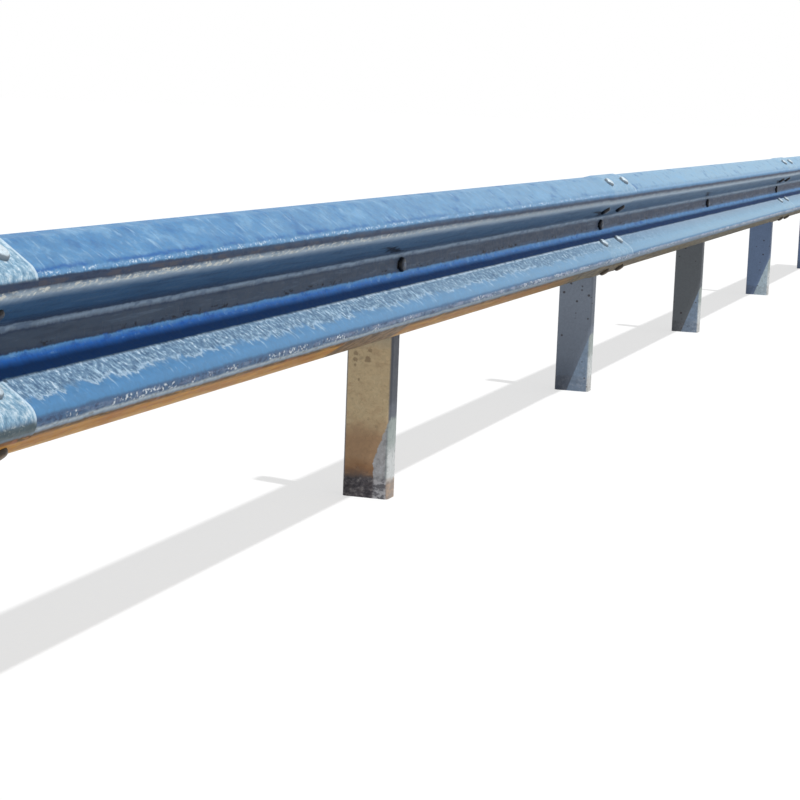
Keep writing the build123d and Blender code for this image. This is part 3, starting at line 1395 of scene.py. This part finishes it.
@dataclass(frozen=True)
class PostFinish:
    """Weathered zinc on the posts, with soil dust and painted tan bounce light, painted sunlight
    below the rail's shadow, mud spots and a dark damp foot.
    """

    name: str
    front: float
    spotted_post: float
    spots: tuple[MudSpot, ...] = (
        MudSpot(0.087, 0.330, 0.007), MudSpot(0.088, 0.316, 0.007), MudSpot(0.088, 0.303, 0.004),
        MudSpot(0.058, 0.317, 0.009), MudSpot(0.053, 0.338, 0.006), MudSpot(0.078, 0.270, 0.004))
    # The painted sunlit patch: its top at the front edge, the slope of the rail's shadow edge
    # across the web, and how deep it reaches from the front.
    sunlit_height: float = 0.187
    sunlit_slope: float = 0.372
    sunlit_depth: float = 0.036
    metallic: float = 0.2
    specular: float = 0.2
    bump: float = 0.3
    bump_depth: float = 0.001

    def build(self, effects: Effects) -> bpy.types.Material:
        """Make the posts' material.

        Args:
            effects: The shared effects.

        Returns:
            The material.
        """
        face = PostFace(self.name, effects)
        graph = face.graph
        # Upstream posts get soil dust with painted tan bounce light, later ones grey zinc.
        tone = graph.mix(face.later, self._dust_and_soil_bounce(face), self._clean(face))
        # Flanges darker higher up with painted shade under the rail.
        zinc = graph.ramp(face.z, ((0.10, PostTone.ZINC_LOW), (0.30, PostTone.ZINC_SHADED)))
        tone = graph.lay(tone, zinc, face.flange, face.along(1.0, 0.3))
        # Paint sunlight low on the road side, below the edge of the rail's shadow.
        tone, sun_patch = self._sunlit_wedge(face, tone)
        tone, mud = self._mud(face, tone)
        face.paint(tone, 0.88, 1.1)
        graph.feed(face.shader.inputs["Metallic"],
                   graph.range(graph.math("MAXIMUM", mud, sun_patch), 0.0, 1.0, self.metallic, 0.05))
        graph.feed(face.shader.inputs["Roughness"], face.by_mottle(0.5, 0.72))
        face.shader.inputs["Specular IOR Level"].default_value = self.specular
        face.relief(graph.math("ADD", face.mottle, mud), self.bump, self.bump_depth)
        return face.material

    @staticmethod
    def _dust_and_soil_bounce(face: PostFace) -> Socket:
        """Coat the upstream posts with soil dust and the sunlit soil's tan bounce light painted
        in, redder and darker towards the foot.

        Args:
            face: The posts' coat.

        Returns:
            The colour's socket.
        """
        graph = face.graph
        tone = graph.ramp(face.height, (
            (0.045, PostTone.DAMP), (0.07, PostTone.CLAY), (0.09, PostTone.SAND),
            (0.14, PostTone.SAND), (0.19, PostTone.DRY_SAND), (0.34, PostTone.DRY_SAND),
            (0.40, PostTone.BARE)))
        clouds = graph.streaked(face.point, (30.0, 26.0, 60.0), 4.0, 0.6)
        tone = graph.lay(tone, PostTone.DUST_CLOUD, graph.range(clouds, 0.52, 0.64), 0.35)
        higher = graph.range(face.height, 0.14, 0.18)
        tone = graph.lay(tone, PostTone.PALE_CLOUD, graph.range(clouds, 0.46, 0.36), higher,
                         0.35)
        ring = graph.between(graph.noise(face.point, 46.0, 3.0, 0.5, 1.6), 0.49, 0.51, 0.008)
        return graph.lay(tone, PostTone.TIDE_MARK, ring, higher, 0.35)

    @staticmethod
    def _clean(face: PostFace) -> Socket:
        """Colour the greyer posts that stand further along.

        Args:
            face: The posts' coat.

        Returns:
            The colour's socket.
        """
        graph = face.graph
        first = graph.ramp(face.height, (
            (0.01, PostTone.GREY_FOOT), (0.12, PostTone.GREY), (0.30, PostTone.GREY_HIGH)))
        tone = graph.mix(graph.range(face.x, 1.4, 1.6), first, PostTone.DULL_GREY)
        return graph.mix(face.last, tone, PostTone.BLUE_GREY)

    def _sunlit_wedge(self, face: PostFace, tone: Socket) -> tuple[Socket, Socket]:
        """Paint sunlight on the posts low on the road side, below the edge of the rail's shadow.

        Args:
            face: The posts' coat.
            tone: The colour so far.

        Returns:
            The sockets of the colour and of the washed part's mask.
        """
        graph = face.graph
        depth = graph.math("SUBTRACT", face.y, self.front)
        ragged = graph.sway(graph.noise(face.point, 70.0, 4.0, 0.6), face.along(0.012, 0.002))
        edge = graph.math("ADD", depth, ragged)
        rise = graph.math("ADD", face.z, graph.math("MULTIPLY", edge, 1 / self.sunlit_slope))
        shallow = graph.math("MAXIMUM", face.later, graph.fall(
            edge, self.sunlit_depth - 0.001, self.sunlit_depth + 0.001))
        washed = graph.both(shallow, graph.fall(
            rise, self.sunlit_height - 0.005, self.sunlit_height + 0.005))
        pale = graph.mix(face.later, PostTone.SUNLIT_DUSTY, PostTone.SUNLIT_GREY)
        pale = graph.mix(face.last, pale, PostTone.SUNLIT_FAR)
        bend = graph.both(graph.between(depth, 0.002, 0.008, 0.002),
                          graph.range(face.z, 0.03, 0.06))
        pale = graph.lay(pale, PostTone.BEND_LINE, bend, face.along(0.6, 0.2))
        spots = graph.noise(face.point, 70.0, 4.0, 0.65)
        mild = face.along(0.45, 0.25)
        pale = graph.lay(pale, PostTone.DARK_SPOT, graph.range(spots, 0.5, 0.62), mild)
        pale = graph.lay(pale, PostTone.PALE_SPOT, graph.range(spots, 0.44, 0.34), mild)
        bright = graph.ramp(face.z, (
            (0.06, PostTone.BRIGHT_FOOT), (0.10, PostTone.BRIGHT_LOW), (0.13, PostTone.BRIGHT),
            (0.19, PostTone.BRIGHT_HIGH)))
        bright = graph.lay(bright, PostTone.BRIGHT_SPOT, graph.range(spots, 0.52, 0.64), 0.4)
        pale = graph.mix(face.flange, pale, bright)
        return graph.lay(tone, pale, washed, 0.94), washed

    def _spot(self, face: PostFace, spot: MudSpot) -> Socket:
        """Return a mask for one mud spot on the upstream web of the spotted post.

        Args:
            face: The posts' coat.
            spot: The spot.

        Returns:
            The mask's socket.
        """
        graph = face.graph
        ragged = graph.sway(graph.noise(face.point, 190.0, 3.0), spot.size * 1.6)
        away = graph.node("ShaderNodeVectorMath", operation="DISTANCE")
        graph.feed(away.inputs[0], graph.join(0.0, face.y, face.z))
        away.inputs[1].default_value = (0.0, self.front + spot.across, spot.up)
        reach = graph.math("ADD", away.outputs["Value"], ragged)
        off_web = graph.math("ABSOLUTE", graph.math("SUBTRACT", face.x, self.spotted_post))
        return graph.both(graph.fall(reach, spot.size * 0.45, spot.size),
                          graph.fall(off_web, 0.004, 0.005))

    def _mud(self, face: PostFace, tone: Socket) -> tuple[Socket, Socket]:
        """Spatter the posts with mud and darken their feet.

        Args:
            face: The posts' coat.
            tone: The colour so far.

        Returns:
            The sockets of the colour and of the mud's mask.
        """
        graph = face.graph
        specks = graph.effect(face.effects.specks, Scale=50.0, Size=0.32, Share=0.42,
                              Vector=graph.scaled(face.point, (0.3, 1.0, 1.1)))
        tone = graph.lay(tone, PostTone.SPATTER, specks, face.along(0.12, 0.8))
        spotted: Number = 0.0
        for spot in self.spots:
            spotted = graph.math("MAXIMUM", spotted, self._spot(face, spot))
        tone = graph.lay(tone, PostTone.MUD_SPOT, spotted, 0.5)
        damp = graph.streaked(face.point, (60.0, 60.0, 90.0), 5.0, 0.7)
        blotches = graph.ramp(damp, (
            (0.38, PostTone.DAMP_DARK), (0.52, PostTone.DAMP_GREY), (0.66, PostTone.DAMP_PALE)))
        tan = graph.mix(graph.range(damp, 0.42, 0.6), PostTone.TAN, PostTone.DULL_TAN)
        chalk = graph.mix(graph.range(damp, 0.44, 0.6), PostTone.CHALK_DARK,
                          PostTone.CHALK_PALE)
        edge = graph.fall(face.y, self.front + 0.030, self.front + 0.038)
        blotches = graph.mix(edge, blotches, graph.mix(face.flange, chalk, tan))
        foot = graph.fall(face.height, 0.040, 0.052)
        tone = graph.lay(tone, blotches, foot, face.along(0.92, 0.22))
        return tone, graph.math("MAXIMUM", specks, graph.math("MAXIMUM", foot, spotted))


@dataclass(frozen=True)
class BoltFinish:
    """Zinc on the bolts, nuts and washers, with painted shade darkening the head's rim."""

    name: str
    crown: Triple
    flank: Triple
    rim: Triple
    crystals: float = 420.0
    clouds: float = 90.0
    metallic: float = 0.35
    bump: float = 0.3
    bump_depth: float = 0.0006

    def build(self, effects: Effects) -> bpy.types.Material:
        """Make the hardware's material.

        Args:
            effects: The shared effects.

        Returns:
            The material.
        """
        coat = Coat(self.name, effects, self.crystals, self.clouds)
        graph = coat.graph
        reach = graph.node("ShaderNodeAttribute", attribute_name=REACH).outputs["Fac"]
        ragged = graph.math("ADD", reach, graph.math("MULTIPLY", coat.mottle, 0.25))
        # Crown, flank and rim tones; the rim is darker with painted shade where the head meets
        # the sheet.
        tone = graph.mix(graph.range(ragged, 0.38, 0.52), self.crown, self.flank)
        tone = graph.mix(graph.range(ragged, 0.90, 1.04), tone, self.rim)
        coat.paint(tone, 0.78, 1.15)
        coat.shader.inputs["Metallic"].default_value = self.metallic
        graph.feed(coat.shader.inputs["Roughness"], coat.by_mottle(0.38, 0.62))
        coat.relief(coat.mottle, self.bump, self.bump_depth)
        return coat.material


# ------------------------------------------------------------------------------ hardware


class Workbench:
    """Edit-mode steps on a single piece, with its faces picked by place and normal."""

    def __init__(self, name: str) -> None:
        """Clear the selection and remember the piece's name."""
        self.name = name
        bpy.ops.object.select_all(action="DESELECT")

    @property
    def piece(self) -> bpy.types.Object:
        """The object that is being worked on."""
        return bpy.context.view_layer.objects.active

    def named(self) -> "Workbench":
        """Give the new primitive its name."""
        self.piece.name = self.name
        self.piece.data.name = self.name
        return self

    def _pick(self, mode: str, parts: str, wanted: Callable[..., bool]) -> None:
        """Select only the faces or edges that a test accepts.

        Args:
            mode: Blender's select mode.
            parts: Name of the mesh's row of faces or edges.
            wanted: The test.
        """
        bpy.ops.object.mode_set(mode="EDIT")
        bpy.ops.mesh.select_mode(type=mode)
        bpy.ops.mesh.select_all(action="DESELECT")
        shape = bmesh.from_edit_mesh(self.piece.data)
        for part in getattr(shape, parts):
            part.select_set(bool(wanted(part)))
        bmesh.update_edit_mesh(self.piece.data)

    def pick_faces(self, wanted: Callable[[bmesh.types.BMFace], bool]) -> None:
        """Select only the faces that a test accepts."""
        self._pick("FACE", "faces", wanted)

    def pick_edges(self, wanted: Callable[[bmesh.types.BMEdge], bool]) -> None:
        """Select only the edges that a test accepts."""
        self._pick("EDGE", "edges", wanted)

    def extrude(self, along: float) -> None:
        """Extrude the picked faces along Z."""
        bpy.ops.mesh.extrude_region_move(TRANSFORM_OT_translate={"value": (0, 0, along)})

    def inset(self, by: float) -> None:
        """Inset the picked faces."""
        bpy.ops.mesh.inset(thickness=by, depth=0.0)

    def resize(self, share: float) -> None:
        """Scale the picked faces about their middle, across Z."""
        bpy.ops.transform.resize(value=(share, share, 1.0))

    def bevel(self, by: float, segments: int) -> None:
        """Bevel the picked edges."""
        bpy.ops.mesh.bevel(offset=by, segments=segments, profile=0.5, affect="EDGES")

    def finish(self, angle: float = 35.0) -> bpy.types.Object:
        """Leave edit mode with sound normals and smooth rounds.

        Args:
            angle: Angle in degrees up to which an edge is smooth.

        Returns:
            The piece.
        """
        bpy.ops.object.mode_set(mode="EDIT")
        bpy.ops.mesh.select_all(action="SELECT")
        bpy.ops.mesh.remove_doubles(threshold=1e-6)
        bpy.ops.mesh.normals_make_consistent(inside=False)
        bpy.ops.object.mode_set(mode="OBJECT")
        bpy.ops.object.shade_smooth_by_angle(angle=math.radians(angle))
        return self.piece


def level(face: bmesh.types.BMFace, height: float) -> bool:
    """Whether a flat face lies at a height and looks along Z."""
    return abs(face.calc_center_median().z - height) < CLOSE and abs(face.normal.z) > 0.99


def rim(edge: bmesh.types.BMEdge, height: float, reach: float) -> bool:
    """Whether an edge lies at a height and at least a distance from the axis."""
    return all(abs(v.co.z - height) < CLOSE and v.co.to_2d().length > reach
               for v in edge.verts)


@dataclass
class ButtonBolt:
    """An M16 bolt with a low round head, modelled with its seat at the origin."""

    head: float = 0.034
    rise: float = 0.0095
    shank: float = 0.0158
    root: float = 0.0138
    pitch: float = 0.002
    length: float = 0.031
    threaded: float = 0.014
    tip: float = 0.001
    sides: int = 32
    rounding: float = 0.82
    crown_inset: float = 0.11
    crown_rise: float = 0.07
    flank: float = 0.4
    root_flat: float = 0.2

    def build(self, name: str) -> bpy.types.Object:
        """Model the bolt, head up, with a ring for each turn of the thread.

        Args:
            name: Name of the piece.

        Returns:
            The bolt.
        """
        bench = Workbench(name)
        bpy.ops.mesh.primitive_cylinder_add(
            vertices=self.sides, radius=self.head / 2, depth=self.rise,
            location=(0, 0, self.rise / 2))
        bench.named()
        bpy.ops.object.transform_apply(location=True, rotation=True, scale=True)
        bench.pick_edges(lambda edge: rim(edge, self.rise, self.head / 2 - MARGIN))
        bench.bevel(self.rise * self.rounding, 6)
        bench.pick_faces(lambda face: level(face, self.rise))
        bench.inset(self.head * self.crown_inset)
        bpy.ops.transform.translate(value=(0, 0, self.rise * self.crown_rise))
        bench.pick_faces(lambda face: level(face, 0.0))
        bench.inset((self.head - self.shank) / 2)
        bench.extrude(-(self.length - self.threaded))
        turns = int(self.threaded / self.pitch)
        share = self.root / self.shank
        for _ in range(turns):
            bench.extrude(-self.pitch * self.flank)
            bench.resize(share)
            bench.extrude(-self.pitch * self.root_flat)
            bench.extrude(-self.pitch * self.flank)
            bench.resize(1 / share)
        bench.extrude(-self.tip)
        bench.resize(share)
        bolt = bench.finish()
        reach = bolt.data.attributes.new(REACH, "FLOAT", "POINT")
        for vertex, value in zip(bolt.data.vertices, reach.data):
            value.value = vertex.co.to_2d().length / (self.head / 2)
        return bolt


@dataclass
class HexNut:
    """A hexagon nut, modelled with its seat at the origin and its body up."""

    across: float = 0.024
    bore: float = 0.0161
    height: float = 0.013
    chamfer: float = 0.0011
    cuts: int = 3

    def build(self, name: str) -> bpy.types.Object:
        """Model the nut.

        Args:
            name: Name of the piece.

        Returns:
            The nut.
        """
        bench = Workbench(name)
        corner = self.across / 2 / math.cos(math.radians(30))
        bpy.ops.mesh.primitive_circle_add(vertices=6, radius=corner)
        bench.named()
        bpy.ops.object.mode_set(mode="EDIT")
        bpy.ops.mesh.select_all(action="SELECT")
        bpy.ops.mesh.subdivide(number_cuts=self.cuts)
        bpy.ops.mesh.primitive_circle_add(vertices=6 * (self.cuts + 1), radius=self.bore / 2)
        bpy.ops.mesh.select_all(action="SELECT")
        bpy.ops.mesh.bridge_edge_loops()
        bench.pick_faces(lambda face: True)
        bench.extrude(self.height)
        for height in (0.0, self.height):
            bench.pick_edges(lambda edge: rim(edge, height, self.bore / 2 + 5 * MARGIN))
            bench.bevel(self.chamfer, 2)
        return bench.finish(FINE_ANGLE)


@dataclass
class Washer:
    """A flat round washer, modelled with its seat at the origin and its body up."""

    outside: float = 0.034
    bore: float = 0.0176
    height: float = 0.003
    edge: float = 0.0006
    sides: int = 32

    def build(self, name: str) -> bpy.types.Object:
        """Model the washer.

        Args:
            name: Name of the piece.

        Returns:
            The washer.
        """
        bench = Workbench(name)
        bpy.ops.mesh.primitive_circle_add(vertices=self.sides, radius=self.outside / 2)
        bench.named()
        bpy.ops.object.mode_set(mode="EDIT")
        bpy.ops.mesh.primitive_circle_add(vertices=self.sides, radius=self.bore / 2)
        bpy.ops.mesh.select_all(action="SELECT")
        bpy.ops.mesh.bridge_edge_loops()
        bench.pick_faces(lambda face: True)
        bench.extrude(self.height)
        bench.pick_edges(lambda edge: rim(edge, self.height, self.outside / 2 - MARGIN))
        bench.bevel(self.edge, 2)
        return bench.finish(FINE_ANGLE)


@dataclass
class Hardware:
    """The bolts, washers and nuts of the laps and posts."""

    form: RailForm
    finishes: dict[BoltLight, bpy.types.Material]
    bolt: ButtonBolt = field(default_factory=ButtonBolt)
    nut: HexNut = field(default_factory=HexNut)
    washer: Washer = field(default_factory=Washer)
    post_sheet: float = 0.005
    models: dict[Kind, bpy.types.Object] = field(default_factory=dict)

    def model(self) -> None:
        """Model one of each kind."""
        makers = {Kind.BOLT: self.bolt, Kind.NUT: self.nut, Kind.WASHER: self.washer}
        self.models = {kind: maker.build(f"model_{kind.value}")
                       for kind, maker in makers.items()}

    def place(self, kind: Kind, stack: str, seat: Vector, normal: Vector, facing: Facing,
              lighting: BoltLight, turn: float = 0.0) -> None:
        """Copy a model to a seat, with its place in its own mesh.

        Args:
            kind: Which model.
            stack: Name that the pieces on one bolt share.
            seat: Where its seat lies.
            normal: Outward normal of the sheet there.
            facing: Whether it looks out along the normal or the other way.
            lighting: Which copy of the finish it wears, with its painted sunlight or shade.
            turn: Turn about its own axis, in degrees.
        """
        copy = self.models[kind].copy()
        copy.data = copy.data.copy()
        copy.name = f"{stack}_{kind.value}"
        copy.data.name = copy.name
        bpy.context.scene.collection.objects.link(copy)
        axis = normal * facing.value
        place = (Matrix.Translation(seat) @ axis.to_track_quat("Z", "Y").to_matrix().to_4x4()
                 @ Matrix.Rotation(math.radians(turn), 4, "Z"))
        copy.data.transform(place)
        copy.data.materials.clear()
        copy.data.materials.append(self.finishes[lighting])
        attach(copy, BODY)
        log.info("%s in place", copy.name)

    def fasten(self, name: str, seat: Vector, normal: Vector, grip: float, turn: float,
               lighting: BoltLight) -> None:
        """Put a bolt, washer and nut through a stack of sheets.

        Args:
            name: Name that the three pieces share.
            seat: Where the head sits on the road face.
            normal: Outward normal there.
            grip: Thickness between the head and the washer.
            turn: Turn of the nut, in degrees.
            lighting: Which copy of the finish the head wears, with its painted sunlight or
                shade.
        """
        self.place(Kind.BOLT, name, seat, normal, Facing.OUT, lighting)
        back = seat - normal * grip
        self.place(Kind.WASHER, name, back, normal, Facing.IN, BoltLight.BACK)
        back -= normal * self.washer.height
        self.place(Kind.NUT, name, back, normal, Facing.IN, BoltLight.BACK, turn)

    def clear(self) -> None:
        """Remove the models that the copies were made from."""
        for model in self.models.values():
            bpy.data.objects.remove(model)


# --------------------------------------------------------------------------------- scene


@dataclass(frozen=True)
class Viewpoint:
    """Where the camera stands and how it is held."""

    place: Triple = (-6.283, -1.471, 0.892)
    yaw: float = 18.04
    pitch: float = -8.35
    roll: float = 2.19
    lens: float = 90.95

    def build(self) -> None:
        """Add the camera and make it the scene's."""
        yaw, pitch, roll = (math.radians(a) for a in (self.yaw, self.pitch, self.roll))
        ahead = Vector((math.cos(pitch) * math.cos(yaw), math.cos(pitch) * math.sin(yaw),
                        math.sin(pitch)))
        right = ahead.cross(Vector((0, 0, 1))).normalized()
        up = right.cross(ahead)
        turned_right = math.cos(roll) * right + math.sin(roll) * up
        turned_up = -math.sin(roll) * right + math.cos(roll) * up
        turn = Matrix((turned_right, turned_up, -ahead)).transposed().to_4x4()
        data = bpy.data.cameras.new("camera")
        data.lens = self.lens
        data.sensor_width = 36.0
        data.clip_end = 500.0
        camera = bpy.data.objects.new("camera", data)
        bpy.context.scene.collection.objects.link(camera)
        camera.matrix_world = Matrix.Translation(Vector(self.place)) @ turn
        bpy.context.scene.camera = camera


@dataclass(frozen=True)
class Daylight:
    """A soft high key light from the road side over an even pale sky."""

    towards: Triple = (-0.12, -0.394, 1.0)
    key: float = 2.2
    key_angle: float = 1.6
    sky: float = 0.48
    floor_tone: float = 0.42
    floor_glow: float = 0.58
    floor_bounce: float = 0.55
    floor_size: float = 300.0

    def build(self) -> None:
        """Add the key light, the sky and the floor."""
        lamp = bpy.data.lights.new("key", "SUN")
        lamp.energy = self.key
        lamp.angle = math.radians(self.key_angle)
        key = bpy.data.objects.new("key", lamp)
        bpy.context.scene.collection.objects.link(key)
        key.rotation_euler = Vector(self.towards).to_track_quat("Z", "Y").to_euler()
        self._sky()
        self._floor()

    def _sky(self) -> None:
        """Make the world white to look at and softer as a light."""
        world = bpy.data.worlds.new("sky")
        bpy.context.scene.world = world
        world.use_nodes = True
        graph = Graph(world.node_tree)
        background = world.node_tree.nodes["Background"]
        background.inputs["Color"].default_value = (1.0, 1.0, 1.0, 1.0)
        seen = self._seen(graph)
        graph.feed(background.inputs["Strength"], graph.range(seen, 0.0, 1.0, self.sky, 1.0))

    def _floor(self) -> None:
        """Lay the pale floor, which looks white where the key light reaches it."""
        bpy.ops.object.select_all(action="DESELECT")
        bpy.ops.mesh.primitive_plane_add(size=self.floor_size)
        floor = bpy.context.view_layer.objects.active
        floor.name = "floor"
        material = bpy.data.materials.new("pale_floor")
        material.use_nodes = True
        graph = Graph(material.node_tree)
        shader = material.node_tree.nodes["Principled BSDF"]
        shader.inputs["Roughness"].default_value = 1.0
        shader.inputs["Specular IOR Level"].default_value = 0.0
        seen = self._seen(graph)
        tone = graph.mix(seen, 3 * (self.floor_bounce,), 3 * (self.floor_tone,))
        glow = graph.math("MULTIPLY", seen, self.floor_glow)
        graph.feed(shader.inputs["Base Color"], tone)
        graph.feed(shader.inputs["Emission Color"], graph.join(glow, glow, glow))
        shader.inputs["Emission Strength"].default_value = 1.0
        floor.data.materials.append(material)

    @staticmethod
    def _seen(graph: Graph) -> Socket:
        """Find which rays see the white surroundings.

        Args:
            graph: The tree of the floor or the sky.

        Returns:
            The socket of 1 for rays from the camera, a gloss or a glass, and 0 for the rest.
        """
        path = graph.node("ShaderNodeLightPath")
        seen = graph.math("MAXIMUM", path.outputs["Is Camera Ray"],
                          path.outputs["Is Glossy Ray"])
        return graph.math("MAXIMUM", seen, path.outputs["Is Transmission Ray"])


@dataclass
class Barrier:
    """The rails and posts of the frame with their hardware."""

    nodes: dict[str, bpy.types.Object]
    form: RailForm = field(default_factory=RailForm)
    post_turn: float = 17.0
    lap_turn: float = 11.0

    def rails(self) -> list[str]:
        """Names of the rails, upstream first."""
        return sorted(name for name in self.nodes if name.startswith("rail_"))

    def posts(self) -> list[str]:
        """Names of the posts, upstream first."""
        return sorted(name for name in self.nodes if name.startswith("post_"))

    def post_lines(self) -> list[float]:
        """X of the bolt line of each post."""
        return [sum(corner.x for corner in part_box(name)) / 2 for name in self.posts()]

    def centre(self) -> float:
        """Height of the rail's middle."""
        return sum(corner.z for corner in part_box(self.rails()[-1])) / 2

    def rail_finish(self) -> RailFinish:
        """Place the rails' finish by the posts and laps.

        Returns:
            The finish.
        """
        lines = self.post_lines()
        spacing = lines[1] - lines[0]
        return RailFinish(Slot.RAIL.value, self.centre(), lines[1], 2 * spacing, lines[1],
                          spacing, self.form)

    def post_finish(self) -> PostFinish:
        """The posts' finish, placed by their front and by the first post after a lap."""
        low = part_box(self.posts()[2])[0]
        return PostFinish(Slot.POST.value, low.y, low.x)

    def dress(self, names: Iterable[str], material: bpy.types.Material) -> None:
        """Give CAD nodes a material.

        Args:
            names: The nodes.
            material: Their finish.
        """
        for name in names:
            node = self.nodes[name]
            if not node.material_slots:
                node.data.materials.append(material)
            for slot in node.material_slots:
                slot.material = material
            log.info("%s wears %s", name, material.name)

    def bolt_up(self, hardware: Hardware) -> None:
        """Bolt the laps and posts.

        Args:
            hardware: The bolts, nuts and washers.
        """
        centre = self.centre()
        ends = {name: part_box(name) for name in self.rails()}
        number = 0
        for index, name in enumerate(self.posts()):
            low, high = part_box(name)
            line = (low.x + high.x) / 2
            over = [rail for rail, (near, far) in ends.items() if near.x < line < far.x]
            raised = self.form.lap_lift if len(over) > 1 else 0.0
            seat = Vector((line, low.y - self.form.sheet - raised, centre))
            grip = self.form.sheet + raised + hardware.post_sheet
            # Post bolts sit in the valley's shade and wear the painted-shade finish.
            hardware.fasten(f"{name}_rail", seat, Vector((0, -1, 0)), grip,
                            self.post_turn * index, BoltLight.IN_SHADE)
            if raised:
                number = self._bolt_lap(hardware, line, number)
                log.info("%s carries a lap", name)

    def _bolt_lap(self, hardware: Hardware, line: float, number: int) -> int:
        """Bolt one lap through its slopes, on both sides of a post.

        Args:
            hardware: The bolts, nuts and washers.
            line: X of the post's bolt line.
            number: How many lap bolts there are so far.

        Returns:
            How many there are now.
        """
        slopes = self.form.slopes(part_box(self.rails()[-1])[0].y, self.centre())
        lift = self.form.lap_lift
        for side in (-1, 1):
            for row, (place, normal) in enumerate(slopes):
                number += 1
                seat = place + normal * lift
                seat.x = line + side * self.form.column_gap / 2
                # Heads on slopes that look down wear the painted-shade finish, those that look
                # up the painted-sunlight one; the bottom row wears the underside's.
                lighting = BoltLight.IN_SHADE if normal.z < 0 else BoltLight.SUNLIT
                if row == len(slopes) - 1:
                    lighting = BoltLight.UNDER
                hardware.fasten(f"lap_{number:02d}", seat, normal, self.form.sheet + lift,
                                self.lap_turn * number, lighting)
        return number


def main() -> None:
    """Build the scene around the loaded frame."""
    logging.basicConfig(level=logging.INFO, format="%(name)s: %(message)s")
    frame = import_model()
    bpy.context.scene.view_settings.view_transform = "Standard"
    Viewpoint().build()
    Daylight().build()
    effects = Effects()
    barrier = Barrier(frame["nodes"])
    barrier.dress(barrier.rails(), barrier.rail_finish().build(effects))
    barrier.dress(barrier.posts(), barrier.post_finish().build(effects))
    # Hardware finishes: bright painted sunlight, dark painted shade with a paler crown as a
    # painted reflection, the underside's brown, and a plain back.
    finishes = {
        BoltLight.SUNLIT: BoltFinish("bolt_washed", linear(214, 228, 236), linear(206, 222, 232),
                                   linear(124, 138, 150)),
        BoltLight.IN_SHADE: BoltFinish("bolt_sheltered", linear(104, 128, 158),
                                      linear(40, 50, 66), linear(10, 12, 18)),
        BoltLight.UNDER: BoltFinish("bolt_underside", linear(128, 108, 80), linear(104, 88, 66),
                                  linear(60, 52, 42)),
        BoltLight.BACK: BoltFinish("bolt_back", linear(128, 134, 140), linear(116, 120, 124),
                                 linear(92, 92, 94))}
    hardware = Hardware(barrier.form, {lighting: finish.build(effects)
                                       for lighting, finish in finishes.items()})
    hardware.model()
    barrier.bolt_up(hardware)
    hardware.clear()


if __name__ == "__main__":
    main()
